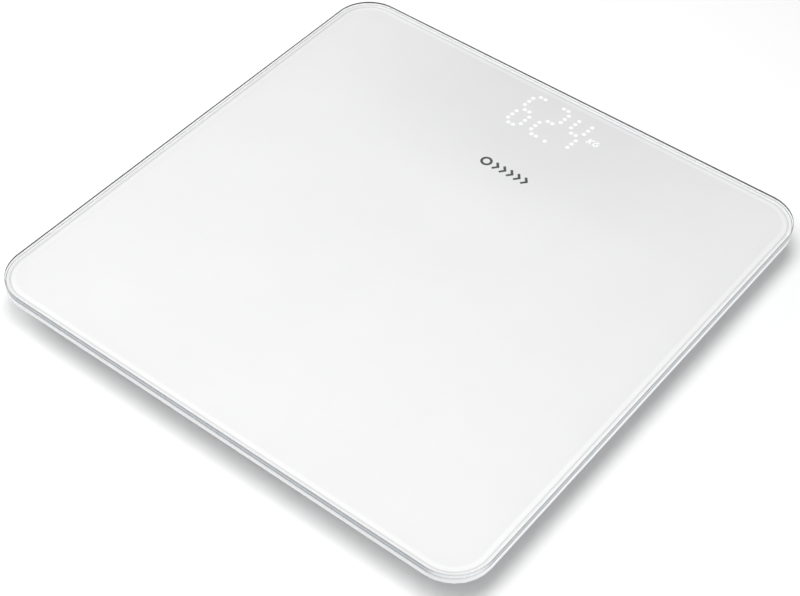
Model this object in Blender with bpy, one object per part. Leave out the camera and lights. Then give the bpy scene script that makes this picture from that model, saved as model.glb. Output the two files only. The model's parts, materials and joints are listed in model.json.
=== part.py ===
"""Square glass body-weight scale: clear glass platform on a full plastic base.

Frame: metres, +Z up, origin on the floor under the middle of the platform,
+Y towards the display edge, +X to the right of a person reading the display.
"""
import math

import bmesh
import bpy
from mathutils import Matrix, Vector

MM = 0.001
GAP = 0.3 * MM

# Platform stack, from the top down.
SIDE = 300 * MM
CORNER_RADIUS = 21.5 * MM
HEIGHT = 22 * MM
GLASS_THICKNESS = 4 * MM
GLASS_ARRIS = 0.4 * MM
PRINT_BORDER = 2.5 * MM
PRINT_THICKNESS = 0.2 * MM
TAPE_WIDTH = 3 * MM
TAPE_THICKNESS = 0.5 * MM
GLASS_BOTTOM = HEIGHT - GLASS_THICKNESS
PRINT_TOP = GLASS_BOTTOM - GAP
PRINT_BOTTOM = PRINT_TOP - PRINT_THICKNESS
TAPE_TOP = PRINT_BOTTOM - GAP
TAPE_BOTTOM = TAPE_TOP - TAPE_THICKNESS
INNER_CEILING = TAPE_TOP

# Base tray: a rim under the glass edge, a sloping hull and a flat belly.
RIM_INSET = 0.2 * MM
RIM_LIP_WIDTH = 2 * MM
RIM_EDGE = 0.25 * MM
RIM_BOTTOM = 14.5 * MM
RIM_FILLET = 0.3 * MM
HULL_TOP_INSET = 1.4 * MM
BELLY_BOTTOM = 5 * MM
BELLY_INSET = 14.8 * MM
BELLY_EDGE = 0.5 * MM
BELLY_FLOOR = 6.8 * MM
LEDGE_Z = TAPE_BOTTOM - GAP
LEDGE_INSET = 6 * MM
LEDGE_FOOT_Z = 13.3 * MM
INNER_FLOOR_INSET = 15.4 * MM
BELLY_CORNER_RADIUS = 20 * MM
INNER_CORNER_RADIUS = 18.5 * MM

# Feet and load cells, one set near each corner.
FOOT_CENTRE = 110 * MM
WELL_RADIUS = 20 * MM
WELL_CEILING = 12.8 * MM
DOME_RADIUS = 21.7 * MM
DOME_TOP = 15.8 * MM
RECESS_HALF = 9.5 * MM
RECESS_TOP = 14.2 * MM
CELL_HALF = 13.5 * MM
CELL_CORNER = 2.5 * MM
CELL_THICKNESS = 1.6 * MM
CELL_TOP = WELL_CEILING - GAP
CELL_BOTTOM = CELL_TOP - CELL_THICKNESS
CELL_SLOT_OUTER = 9 * MM
CELL_TONGUE_HALF = 6 * MM
CELL_SLOT_END = 7 * MM
PEG_PLACE = 11.4 * MM
PEG_RADIUS = 1 * MM
PEG_TIP_Z = 10.7 * MM
SEALANT_HALF_X = 4.6 * MM
SEALANT_HALF_Y = 2.5 * MM
SEALANT_CENTRE_Y = -4.2 * MM
SEALANT_THICKNESS = 0.9 * MM
FOOT_TRAVEL = 0.25 * MM
FOOT_RADIUS = 16 * MM
FOOT_FLANGE_RADIUS = 18.2 * MM
FOOT_FLANGE_THICKNESS = 1.4 * MM
FOOT_POST_RADIUS = 4 * MM
FOOT_POST_TOP = CELL_BOTTOM - GAP
FOOT_FLANGE_TOP = FOOT_POST_TOP - 0.7 * MM
FOOT_FLANGE_BOTTOM = FOOT_FLANGE_TOP - FOOT_FLANGE_THICKNESS
FOOT_EDGE = 0.8 * MM
FOOT_RIM_Z = 1.4 * MM
PAD_RADIUS = 13.7 * MM
PAD_HEIGHT = 3.2 * MM
PAD_EDGE = 0.7 * MM
RING_OUTER = WELL_RADIUS - GAP
RING_INNER = FOOT_RADIUS + GAP
RING_BOTTOM = BELLY_BOTTOM + 0.2 * MM
RING_TOP = FOOT_FLANGE_BOTTOM - GAP
RING_EDGE = 0.4 * MM

# Battery bay, its raised housing on the belly, and the hinged door.
CELL_RADIUS = 5.25 * MM
CELL_LENGTH = 44.5 * MM
CELL_PITCH = 11 * MM
CELL_AXIS_Z = 10.65 * MM
NUB_RADIUS = 1.9 * MM
NUB_HEIGHT = 0.8 * MM
CELL_EDGE = 0.5 * MM
BAY_HALF_X = 16.7 * MM
BAY_HALF_Y = 26 * MM
BAY_WALL = 1.4 * MM
BAY_ROOF = 16.2 * MM
HOUSING_HALF_X = 26 * MM
HOUSING_HALF_Y = 36 * MM
HOUSING_BOTTOM = 3.5 * MM
HOUSING_SLOPE = 1.8 * MM
HOUSING_CORNER = 6 * MM
DOOR_HALF_X = 20 * MM
DOOR_HALF_Y = 30 * MM
DOOR_THICKNESS = 1.6 * MM
DOOR_CORNER = 1.2 * MM
DOOR_RECESS_TOP = HOUSING_BOTTOM + DOOR_THICKNESS + GAP
HINGE_RADIUS = DOOR_THICKNESS / 2
HINGE_Y = HINGE_RADIUS - DOOR_HALF_Y
HINGE_Z = HOUSING_BOTTOM + HINGE_RADIUS
HINGE_PIN_LENGTH = 2.4 * MM
LATCH_HALF_X = 6 * MM
LATCH_LENGTH = 11 * MM
LATCH_SLOT = 1.2 * MM
NIB_HALF_X = 4 * MM
NIB_Y = (28.3 * MM, 29.4 * MM)
NIB_TOP = 6.3 * MM
SCOOP_RADIUS = 9 * MM
SCOOP_DEPTH = 1.1 * MM

# Battery contacts and leads.
CONTACT_THICKNESS = 0.4 * MM
CONTACT_HALF_X = 4.3 * MM
CONTACT_Z = (6.6 * MM, 15.2 * MM)
CONTACT_BUMP = (3 * MM, 2 * MM)
SPRING_RADII = (3.3 * MM, 2.3 * MM)
SPRING_WIRE = 0.35 * MM
SPRING_TURNS = 2
LEAD_RADIUS = 0.55 * MM
LEAD_HOLE_RADIUS = 1 * MM
LEAD_Z = 12 * MM
CABLE_RADIUS = 0.6 * MM
CABLE_Z = 13.5 * MM
CABLE_CHANNEL_HALF = 1 * MM
CABLE_FLOOR_Z = 7.9 * MM

# Main board, its button and its screws.
BOARD_HALF_X = 32 * MM
BOARD_Y = (52 * MM, 92 * MM)
BOARD_THICKNESS = 1.6 * MM
BOARD_BOTTOM = 12.7 * MM
BOARD_TOP = BOARD_BOTTOM + BOARD_THICKNESS
BOARD_CORNER = 2 * MM
BOSS_RADIUS = 2.8 * MM
PILOT_RADIUS = 1.15 * MM
SCREW_HOLE_RADIUS = 1.5 * MM
SCREW_RADIUS = 0.85 * MM
SCREW_HEAD_RADIUS = 2.3 * MM
SCREW_HEAD_HEIGHT = 1.2 * MM
SCREW_LENGTH = 6 * MM
BOARD_SCREW_X = 28.6 * MM
BOARD_SCREW_Y = (55.4 * MM, 88.6 * MM)
CHIP_HALF = 5 * MM
CHIP_THICKNESS = 1.2 * MM
CHIP_CENTRE = (-4 * MM, 74 * MM)
BUTTON_CENTRE = (20 * MM, 72 * MM)
BUTTON_RADIUS = 4 * MM
BUTTON_BOTTOM = BELLY_BOTTOM + 0.2 * MM
BUTTON_FLANGE_RADIUS = 5.4 * MM
BUTTON_FLANGE_Z = (BELLY_FLOOR + GAP, BELLY_FLOOR + GAP + 0.8 * MM)
BUTTON_POST_RADIUS = 1.6 * MM
BUTTON_POST_TOP = 8.6 * MM
BUTTON_TRAVEL = 0.8 * MM
SWITCH_HALF = 3.1 * MM
SWITCH_Z = (9.9 * MM, BOARD_BOTTOM - GAP)
SWITCH_BORE_TOP = 11.95 * MM
PLUNGER_RADIUS = 1.5 * MM
PLUNGER_Z = (BUTTON_POST_TOP + GAP, 10.9 * MM)

# Display: light frame and lamp board under the printed area by the +Y edge.
DISPLAY_CENTRE_X = -0.5 * MM
DISPLAY_HALF_X = 38.5 * MM
DISPLAY_EAR_X = 45 * MM
DISPLAY_EAR_HALF_Y = 4 * MM
DISPLAY_Y = (107.5 * MM, 143.6 * MM)
LAMP_BOARD_Z = (13.6 * MM, 14.4 * MM)
FRAME_Z = (14.7 * MM, 16.6 * MM)
EAR_TOP = 15.5 * MM
DIFFUSER_Z = (16.9 * MM, INNER_CEILING)
DIGIT_PITCH = 15.55 * MM
DIGIT_WINDOW_HALF_X = 7 * MM
DIGIT_WINDOW_Y = (110.6 * MM, 142.4 * MM)
FIRST_DIGIT_X = -29.6 * MM
DIGIT_COUNT = 4
UNIT_WINDOW_X = (24.8 * MM, 35 * MM)
UNIT_WINDOW_Y = (123 * MM, 132 * MM)
DISPLAY_SCREW_X = 41.8 * MM
DISPLAY_MIDDLE_Y = 0.5 * (DISPLAY_Y[0] + DISPLAY_Y[1])
RIBBON_HALF_X = 8 * MM
RIBBON_THICKNESS = 0.5 * MM
RIBBON_ARCH = 1.3 * MM

# Stiffening ribs on the belly floor.
RIB_HALF_THICKNESS = 0.8 * MM
RIB_TOP = 10.6 * MM
RIB_NOTCH = (50 * MM, 57 * MM)
RIB_START_X = 30 * MM
RIB_END = 134 * MM
SINK = 0.4 * MM

# Smoothness of the rounds.
CORNER_STEPS = 7
ROUND_SEGMENTS = 24
SMALL_SEGMENTS = 16
SPRING_STEPS = 10
CABLE_STEP = 3.4 * MM
CABLE_SIDES = 2
SMOOTH_ANGLE = math.radians(40)
CUT_CLEARANCE = 2 * MM

CORNERS = {
    "front_left": (-1, -1),
    "front_right": (1, -1),
    "rear_left": (-1, 1),
    "rear_right": (1, 1),
}

FINISHES = {
    "clear_glass": ((0.86, 0.9, 0.92, 1.0), 0.03, 0.0),
    "white_print": ((0.86, 0.86, 0.86, 1.0), 0.35, 0.0),
    "foam_tape": ((0.75, 0.75, 0.72, 1.0), 0.9, 0.0),
    "white_abs": ((0.84, 0.85, 0.86, 1.0), 0.4, 0.0),
    "grey_abs": ((0.55, 0.56, 0.57, 1.0), 0.45, 0.0),
    "rubber": ((0.32, 0.33, 0.34, 1.0), 0.8, 0.0),
    "stamped_steel": ((0.6, 0.6, 0.61, 1.0), 0.3, 1.0),
    "sealant": ((0.9, 0.9, 0.88, 1.0), 0.5, 0.0),
    "black_plastic": ((0.03, 0.03, 0.03, 1.0), 0.5, 0.0),
    "diffuser": ((0.9, 0.9, 0.92, 1.0), 0.6, 0.0),
    "circuit_board": ((0.03, 0.2, 0.09, 1.0), 0.45, 0.0),
    "nickel": ((0.72, 0.7, 0.66, 1.0), 0.25, 1.0),
    "cell_jacket": ((0.12, 0.25, 0.5, 1.0), 0.35, 0.2),
    "grey_cable": ((0.5, 0.5, 0.52, 1.0), 0.55, 0.0),
    "red_lead": ((0.6, 0.03, 0.03, 1.0), 0.5, 0.0),
    "black_lead": ((0.03, 0.03, 0.03, 1.0), 0.5, 0.0),
}


def clear_scene():
    for item in list(bpy.data.objects):
        bpy.data.objects.remove(item, do_unlink=True)


def finish(name, look):
    """Give a part its own Principled material."""
    colour, roughness, metallic = FINISHES[look]
    material = bpy.data.materials.new(name + "_finish")
    material.use_nodes = True
    shader = material.node_tree.nodes["Principled BSDF"]
    shader.inputs["Base Color"].default_value = colour
    shader.inputs["Roughness"].default_value = roughness
    shader.inputs["Metallic"].default_value = metallic
    material.diffuse_color = colour
    return material


# A solid is a pair: its points and its faces, as lists of point numbers.


def rounded_outline(half_x, half_y, radius, steps=CORNER_STEPS):
    """Points of a rectangle with round corners, counter-clockwise."""
    outline = []
    for quarter, (side_x, side_y) in enumerate(((1, 1), (-1, 1), (-1, -1), (1, -1))):
        centre_x = side_x * (half_x - radius)
        centre_y = side_y * (half_y - radius)
        for step in range(steps + 1):
            angle = (quarter + step / steps) * math.pi / 2
            outline.append((centre_x + radius * math.cos(angle), centre_y + radius * math.sin(angle)))
    return outline


def round_outline(radius, segments=SMALL_SEGMENTS, centre=(0.0, 0.0)):
    outline = []
    for step in range(segments):
        angle = 2 * math.pi * step / segments
        outline.append((centre[0] + radius * math.cos(angle), centre[1] + radius * math.sin(angle)))
    return outline


def loft(levels):
    """Join outlines of equal point count, each given as (outline, z), and cap both ends."""
    count = len(levels[0][0])
    points = [Vector((x, y, z)) for outline, z in levels for x, y in outline]
    faces = [list(range(count - 1, -1, -1))]
    for level in range(len(levels) - 1):
        base = level * count
        for step in range(count):
            after = (step + 1) % count
            faces.append([base + step, base + after, base + count + after, base + count + step])
    last = (len(levels) - 1) * count
    faces.append(list(range(last, last + count)))
    return points, faces


def prism(outline, low, high):
    return loft([(outline, low), (outline, high)])


def block(x_range, y_range, z_range):
    outline = [
        (x_range[0], y_range[0]),
        (x_range[1], y_range[0]),
        (x_range[1], y_range[1]),
        (x_range[0], y_range[1]),
    ]
    return prism(outline, z_range[0], z_range[1])


def turned(profile, segments=ROUND_SEGMENTS):
    """Turn (radius, z) points about Z; a profile ends on the axis, or closes on itself as a ring."""
    closed = profile[0][0] > 0
    points = []
    rings = []
    for radius, z in profile:
        if radius == 0:
            rings.append([len(points)] * segments)
            points.append(Vector((0, 0, z)))
            continue
        rings.append([len(points) + step for step in range(segments)])
        points.extend(Vector((x, y, z)) for x, y in round_outline(radius, segments))
    pairs = list(zip(rings, rings[1:]))
    if closed:
        pairs.append((rings[-1], rings[0]))
    faces = []
    for lower, upper in pairs:
        for step in range(segments):
            after = (step + 1) % segments
            corners = [lower[step], lower[after], upper[after], upper[step]]
            faces.append(list(dict.fromkeys(corners)))
    return points, faces


def pierced(outline, holes, low, high):
    """A flat plate between two heights with holes right through it."""
    bm = bmesh.new()
    for loop in [outline] + holes:
        corners = [bm.verts.new((x, y, low)) for x, y in loop]
        for first, second in zip(corners, corners[1:] + corners[:1]):
            bm.edges.new((first, second))
    bmesh.ops.triangle_fill(bm, use_beauty=True, edges=bm.edges[:])
    raised = bmesh.ops.extrude_face_region(bm, geom=bm.faces[:])
    top = [item for item in raised["geom"] if isinstance(item, bmesh.types.BMVert)]
    bmesh.ops.translate(bm, verts=top, vec=(0, 0, high - low))
    bm.verts.index_update()
    points = [vertex.co.copy() for vertex in bm.verts]
    faces = [[vertex.index for vertex in face.verts] for face in bm.faces]
    bm.free()
    return points, faces


def moved(solid, matrix):
    points, faces = solid
    return [matrix @ point for point in points], faces


def at(x, y, z=0.0):
    return Matrix.Translation((x, y, z))


def make(name, solids, look, origin=(0.0, 0.0, 0.0)):
    """Build one object from solids, with its origin at the given point."""
    bm = bmesh.new()
    for points, faces in solids:
        corners = [bm.verts.new(point - Vector(origin)) for point in points]
        for face in faces:
            bm.faces.new([corners[index] for index in face])
    bmesh.ops.recalc_face_normals(bm, faces=bm.faces[:])
    mesh = bpy.data.meshes.new(name)
    bm.to_mesh(mesh)
    bm.free()
    mesh.shade_smooth()
    mesh.set_sharp_from_angle(angle=SMOOTH_ANGLE)
    part = bpy.data.objects.new(name, mesh)
    part.location = origin
    bpy.context.scene.collection.objects.link(part)
    mesh.materials.append(finish(name, look))
    return part


def combine(part, operation, name, solids):
    """Add or cut solids that don't touch each other, kept as a live Boolean."""
    tool = make(name, solids, "white_abs")
    tool.hide_render = True
    tool.display_type = "WIRE"
    modifier = part.modifiers.new(name, "BOOLEAN")
    modifier.operation = operation
    modifier.solver = "EXACT"
    modifier.object = tool


def smooth_route(points, step):
    """Points at an even step along a Catmull-Rom curve through the given points."""
    samples_per_span = 24
    ends = [2 * points[0] - points[1]] + points + [2 * points[-1] - points[-2]]
    dense = []
    for index in range(1, len(ends) - 2):
        before, start, end, after = ends[index - 1:index + 3]
        for sample in range(samples_per_span):
            t = sample / samples_per_span
            dense.append(0.5 * (
                2 * start
                + (end - before) * t
                + (2 * before - 5 * start + 4 * end - after) * t * t
                + (3 * start - before - 3 * end + after) * t ** 3
            ))
    dense.append(points[-1])
    lengths = [0.0]
    for first, second in zip(dense, dense[1:]):
        lengths.append(lengths[-1] + (second - first).length)
    count = max(2, round(lengths[-1] / step))
    route = []
    index = 0
    for stop in range(count + 1):
        wanted = lengths[-1] * stop / count
        while index < len(dense) - 2 and lengths[index + 1] < wanted:
            index += 1
        share = (wanted - lengths[index]) / (lengths[index + 1] - lengths[index])
        route.append(dense[index].lerp(dense[index + 1], share))
    return route


def wire(name, route, radius, look):
    """A round tube with closed ends along a list of points."""
    curve = bpy.data.curves.new(name, "CURVE")
    curve.dimensions = "3D"
    curve.bevel_depth = radius
    curve.bevel_resolution = CABLE_SIDES
    curve.use_fill_caps = True
    spline = curve.splines.new("POLY")
    spline.points.add(len(route) - 1)
    for point, place in zip(spline.points, route):
        point.co = (*place, 1.0)
    part = bpy.data.objects.new(name, curve)
    bpy.context.scene.collection.objects.link(part)
    curve.materials.append(finish(name, look))
    return part


def platform():
    half = SIDE / 2

    def edge(inset):
        return rounded_outline(half - inset, half - inset, CORNER_RADIUS - inset)

    make("glass_platform", [loft([
        (edge(GLASS_ARRIS), GLASS_BOTTOM),
        (edge(0), GLASS_BOTTOM + GLASS_ARRIS),
        (edge(0), HEIGHT - GLASS_ARRIS),
        (edge(GLASS_ARRIS), HEIGHT),
    ])], "clear_glass")
    make("print_layer", [prism(edge(PRINT_BORDER), PRINT_BOTTOM, PRINT_TOP)], "white_print")
    tape_inset = PRINT_BORDER + GAP
    tape = pierced(edge(tape_inset), [edge(tape_inset + TAPE_WIDTH)], TAPE_BOTTOM, TAPE_TOP)
    make("bonding_tape", [tape], "foam_tape")


def tray_shell():
    """Closed loft from the belly out and up the hull, over the rim, and down to the inner floor."""
    half = SIDE / 2
    rim_top = GLASS_BOTTOM - GAP
    lip_inset = RIM_INSET + RIM_LIP_WIDTH

    def edge(inset, radius=None):
        return rounded_outline(half - inset, half - inset, radius or CORNER_RADIUS - inset)

    return loft([
        (edge(BELLY_INSET + BELLY_EDGE, BELLY_CORNER_RADIUS - BELLY_EDGE), BELLY_BOTTOM),
        (edge(BELLY_INSET, BELLY_CORNER_RADIUS), BELLY_BOTTOM + BELLY_EDGE),
        (edge(HULL_TOP_INSET), RIM_BOTTOM),
        (edge(RIM_INSET + RIM_EDGE), RIM_BOTTOM + RIM_FILLET / 3),
        (edge(RIM_INSET), RIM_BOTTOM + RIM_FILLET),
        (edge(RIM_INSET), rim_top - RIM_EDGE),
        (edge(RIM_INSET + RIM_EDGE), rim_top),
        (edge(lip_inset), rim_top),
        (edge(lip_inset), LEDGE_Z),
        (edge(LEDGE_INSET), LEDGE_Z),
        (edge(LEDGE_INSET), LEDGE_FOOT_Z),
        (edge(INNER_FLOOR_INSET, INNER_CORNER_RADIUS), BELLY_FLOOR),
    ])


def corner_frame(corner):
    """Local frame of one foot: origin on the floor, local -Y towards the middle of the scale."""
    side_x, side_y = CORNERS[corner]
    turn = math.atan2(side_y, side_x) - math.pi / 2
    return at(side_x * FOOT_CENTRE, side_y * FOOT_CENTRE) @ Matrix.Rotation(turn, 4, "Z")


def display_x(offset):
    return DISPLAY_CENTRE_X + offset


def board_screw_places():
    return [(side * BOARD_SCREW_X, y) for y in BOARD_SCREW_Y for side in (-1, 1)]


def display_screw_places():
    return [(display_x(side * DISPLAY_SCREW_X), DISPLAY_MIDDLE_Y) for side in (-1, 1)]


def base_tray():
    tray = make("base_tray", [tray_shell()], "white_abs")
    frames = [corner_frame(corner) for corner in CORNERS]
    below = BELLY_BOTTOM + SINK
    floor_sink = BELLY_FLOOR - SINK

    housing = loft([
        (rounded_outline(HOUSING_HALF_X - HOUSING_SLOPE, HOUSING_HALF_Y - HOUSING_SLOPE,
                         HOUSING_CORNER - HOUSING_SLOPE), HOUSING_BOTTOM),
        (rounded_outline(HOUSING_HALF_X, HOUSING_HALF_Y, HOUSING_CORNER), BELLY_BOTTOM),
        (rounded_outline(HOUSING_HALF_X, HOUSING_HALF_Y, HOUSING_CORNER), BELLY_BOTTOM + 2 * SINK),
    ])
    combine(tray, "UNION", "battery_housing", [housing])
    bay_x = BAY_HALF_X + BAY_WALL
    bay_y = BAY_HALF_Y + BAY_WALL
    combine(tray, "UNION", "bay_walls", [block((-bay_x, bay_x), (-bay_y, bay_y), (floor_sink, INNER_CEILING))])

    standing = []
    for frame in frames:
        standing.append(moved(prism(round_outline(DOME_RADIUS, ROUND_SEGMENTS), below, DOME_TOP), frame))
    for x, y in board_screw_places():
        boss = prism(round_outline(BOSS_RADIUS), floor_sink, BOARD_BOTTOM - GAP)
        standing.append(moved(boss, at(x, y)))
    for x, y in display_screw_places():
        boss = prism(round_outline(BOSS_RADIUS), floor_sink, LAMP_BOARD_Z[0] - GAP)
        standing.append(moved(boss, at(x, y)))
    combine(tray, "UNION", "domes_and_bosses", standing)

    ribs = []
    rib = (-RIB_HALF_THICKNESS, RIB_HALF_THICKNESS)
    rib_z = (floor_sink, RIB_TOP)
    for side in (-1, 1):
        for near, far in ((RIB_START_X, RIB_NOTCH[0]), (RIB_NOTCH[1], RIB_END)):
            ribs.append(block(sorted((side * near, side * far)), rib, rib_z))
    ribs.append(block(rib, (-RIB_END, SINK - bay_y), rib_z))
    combine(tray, "UNION", "floor_ribs", ribs)

    hollows = [block((-BAY_HALF_X, BAY_HALF_X), (-BAY_HALF_Y, BAY_HALF_Y), (BELLY_BOTTOM, BAY_ROOF))]
    for frame in frames:
        well = prism(round_outline(WELL_RADIUS, ROUND_SEGMENTS), BELLY_BOTTOM - CUT_CLEARANCE, WELL_CEILING)
        hollows.append(moved(well, frame))
    for x, y in board_screw_places() + display_screw_places():
        pilot = prism(round_outline(PILOT_RADIUS), BELLY_FLOOR + SINK, BOARD_TOP)
        hollows.append(moved(pilot, at(x, y)))
    button_hole = prism(round_outline(BUTTON_RADIUS + GAP, ROUND_SEGMENTS), 0, BELLY_FLOOR + CUT_CLEARANCE)
    hollows.append(moved(button_hole, at(*BUTTON_CENTRE)))
    combine(tray, "DIFFERENCE", "bay_and_wells", hollows)

    recesses = [block(
        (-DOOR_HALF_X - GAP, DOOR_HALF_X + GAP),
        (-DOOR_HALF_Y - GAP, DOOR_HALF_Y + GAP),
        (HOUSING_BOTTOM - CUT_CLEARANCE, DOOR_RECESS_TOP),
    )]
    for frame in frames:
        side = (-RECESS_HALF, RECESS_HALF)
        recesses.append(moved(block(side, side, (WELL_CEILING - SINK, RECESS_TOP)), frame))
    combine(tray, "DIFFERENCE", "door_and_cell_recesses", recesses)

    details = []
    for frame in frames:
        channel = block(
            (-CABLE_CHANNEL_HALF, CABLE_CHANNEL_HALF),
            (-DOME_RADIUS - CUT_CLEARANCE, SINK - RECESS_HALF),
            (WELL_CEILING - SINK, CABLE_Z + CABLE_RADIUS + GAP),
        )
        details.append(moved(channel, frame))
    pin_bore = prism(round_outline(HINGE_RADIUS + GAP), -DOOR_HALF_X - HINGE_PIN_LENGTH - GAP,
                     DOOR_HALF_X + HINGE_PIN_LENGTH + GAP)
    along_x = at(0, HINGE_Y, HINGE_Z) @ Matrix.Rotation(math.pi / 2, 4, "Y")
    details.append(moved(pin_bore, along_x))
    for side in (-1, 1):
        hole = prism(round_outline(LEAD_HOLE_RADIUS), -CUT_CLEARANCE, CUT_CLEARANCE)
        place = at(side * CELL_PITCH, side * (BAY_HALF_Y + BAY_WALL / 2), LEAD_Z)
        details.append(moved(hole, place @ Matrix.Rotation(math.pi / 2, 4, "X")))
    combine(tray, "DIFFERENCE", "channels_and_bores", details)

    nib_pocket = block(
        (-NIB_HALF_X - GAP, NIB_HALF_X + GAP),
        (NIB_Y[0] - GAP, DOOR_HALF_Y + GAP / 2),
        (DOOR_RECESS_TOP - SINK, BELLY_FLOOR + SINK),
    )
    scoop = prism(round_outline(SCOOP_RADIUS, ROUND_SEGMENTS), HOUSING_BOTTOM - CUT_CLEARANCE,
                  HOUSING_BOTTOM + SCOOP_DEPTH)
    scoop_y = DOOR_HALF_Y + GAP - SCOOP_RADIUS / 2
    combine(tray, "DIFFERENCE", "latch_pocket", [nib_pocket])
    combine(tray, "DIFFERENCE", "finger_scoop", [moved(scoop, at(0, scoop_y))])

    pegs = []
    for frame in frames:
        for side in (-1, 1):
            peg = prism(round_outline(PEG_RADIUS), PEG_TIP_Z, WELL_CEILING + SINK)
            pegs.append(moved(peg, frame @ at(side * PEG_PLACE, side * PEG_PLACE)))
    combine(tray, "UNION", "cell_pegs", pegs)


def load_cell(corner):
    """Stamped steel cell: a frame on the tray, with a tongue that the foot bends."""
    frame = corner_frame(corner)
    slot = [
        (-CELL_SLOT_OUTER, -CELL_SLOT_END),
        (-CELL_TONGUE_HALF, -CELL_SLOT_END),
        (-CELL_TONGUE_HALF, CELL_TONGUE_HALF),
        (CELL_TONGUE_HALF, CELL_TONGUE_HALF),
        (CELL_TONGUE_HALF, -CELL_SLOT_END),
        (CELL_SLOT_OUTER, -CELL_SLOT_END),
        (CELL_SLOT_OUTER, CELL_SLOT_OUTER),
        (-CELL_SLOT_OUTER, CELL_SLOT_OUTER),
    ]
    holes = [slot]
    for side in (-1, 1):
        holes.append(round_outline(PEG_RADIUS + GAP, centre=(side * PEG_PLACE, side * PEG_PLACE)))
    outline = rounded_outline(CELL_HALF, CELL_HALF, CELL_CORNER, steps=3)
    cell = moved(pierced(outline, holes, CELL_BOTTOM, CELL_TOP), frame)
    make("load_cell_" + corner, [cell], "stamped_steel")

    low = CELL_TOP + GAP
    dab = loft([
        (rounded_outline(SEALANT_HALF_X, SEALANT_HALF_Y, SEALANT_HALF_Y * 0.9, steps=4), low),
        (rounded_outline(SEALANT_HALF_X * 0.95, SEALANT_HALF_Y * 0.9, SEALANT_HALF_Y * 0.8, steps=4),
         low + SEALANT_THICKNESS * 0.7),
        (rounded_outline(SEALANT_HALF_X * 0.8, SEALANT_HALF_Y * 0.65, SEALANT_HALF_Y * 0.6, steps=4),
         low + SEALANT_THICKNESS),
    ])
    make("gauge_sealant_" + corner, [moved(dab, frame @ at(0, SEALANT_CENTRE_Y))], "sealant")


def foot(corner):
    frame = corner_frame(corner)
    origin = frame.translation
    recess_top = PAD_HEIGHT + GAP
    recess_radius = PAD_RADIUS + GAP
    plunger = turned([
        (0, recess_top),
        (recess_radius, recess_top),
        (recess_radius, FOOT_RIM_Z),
        (FOOT_RADIUS - FOOT_EDGE, FOOT_RIM_Z),
        (FOOT_RADIUS, FOOT_RIM_Z + FOOT_EDGE),
        (FOOT_RADIUS, FOOT_FLANGE_BOTTOM),
        (FOOT_FLANGE_RADIUS, FOOT_FLANGE_BOTTOM),
        (FOOT_FLANGE_RADIUS, FOOT_FLANGE_TOP),
        (FOOT_POST_RADIUS, FOOT_FLANGE_TOP),
        (FOOT_POST_RADIUS, FOOT_POST_TOP),
        (0, FOOT_POST_TOP),
    ])
    make("foot_plunger_" + corner, [moved(plunger, frame)], "white_abs", origin)
    pad = turned([
        (0, 0),
        (PAD_RADIUS - PAD_EDGE, 0),
        (PAD_RADIUS, PAD_EDGE),
        (PAD_RADIUS, PAD_HEIGHT),
        (0, PAD_HEIGHT),
    ])
    make("foot_pad_" + corner, [moved(pad, frame)], "rubber", origin)
    ring = turned([
        (RING_INNER + RING_EDGE, RING_BOTTOM),
        (RING_OUTER - RING_EDGE, RING_BOTTOM),
        (RING_OUTER, RING_BOTTOM + RING_EDGE),
        (RING_OUTER, RING_TOP),
        (RING_INNER, RING_TOP),
        (RING_INNER, RING_BOTTOM + RING_EDGE),
    ])
    make("foot_ring_" + corner, [moved(ring, frame)], "grey_abs")


def sensor_cable(corner):
    """Cable from the gauges, out through the dome wall and over the belly floor to the board."""
    frame = corner_frame(corner)
    side_x, side_y = CORNERS[corner]
    start = SEALANT_CENTRE_Y - SEALANT_HALF_Y - GAP
    route = [frame @ Vector((0, y, z)) for y, z in (
        (start, CABLE_Z),
        (-15 * MM, CABLE_Z),
        (-22 * MM, CABLE_Z),
        (-27 * MM, 11.5 * MM),
        (-32 * MM, CABLE_FLOOR_Z),
    )]
    if side_y < 0:
        route += [Vector((side_x * x, y, CABLE_FLOOR_Z)) for x, y in (
            (70 * MM, -60 * MM), (56 * MM, -24 * MM), (53.5 * MM, 0), (50 * MM, 30 * MM))]
        landing_y = 61 * MM
    else:
        route += [Vector((side_x * 66 * MM, 82 * MM, CABLE_FLOOR_Z))]
        landing_y = 81 * MM
    over_board = BOARD_TOP + GAP + CABLE_RADIUS
    route += [
        Vector((side_x * 44 * MM, landing_y - 2 * MM, CABLE_FLOOR_Z + 1 * MM)),
        Vector((side_x * (BOARD_HALF_X + 3 * MM), landing_y, over_board - 1 * MM)),
        Vector((side_x * (BOARD_HALF_X - 0.5 * MM), landing_y, over_board)),
        Vector((side_x * (BOARD_HALF_X - 4 * MM), landing_y, over_board)),
    ]
    wire("sensor_cable_" + corner, smooth_route(route, CABLE_STEP), CABLE_RADIUS, "grey_cable")


def batteries():
    half = CELL_LENGTH / 2
    profile = [
        (0, -half),
        (CELL_RADIUS - CELL_EDGE, -half),
        (CELL_RADIUS, CELL_EDGE - half),
        (CELL_RADIUS, half - NUB_HEIGHT - CELL_EDGE),
        (CELL_RADIUS - CELL_EDGE, half - NUB_HEIGHT),
        (NUB_RADIUS, half - NUB_HEIGHT),
        (NUB_RADIUS, half),
        (0, half),
    ]
    for number in range(3):
        facing = -1 if number % 2 == 0 else 1
        lie = at((number - 1) * CELL_PITCH, 0, CELL_AXIS_Z) @ Matrix.Rotation(facing * math.pi / 2, 4, "X")
        make("battery_%d" % (number + 1), [moved(turned(profile), lie)], "cell_jacket")


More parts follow.
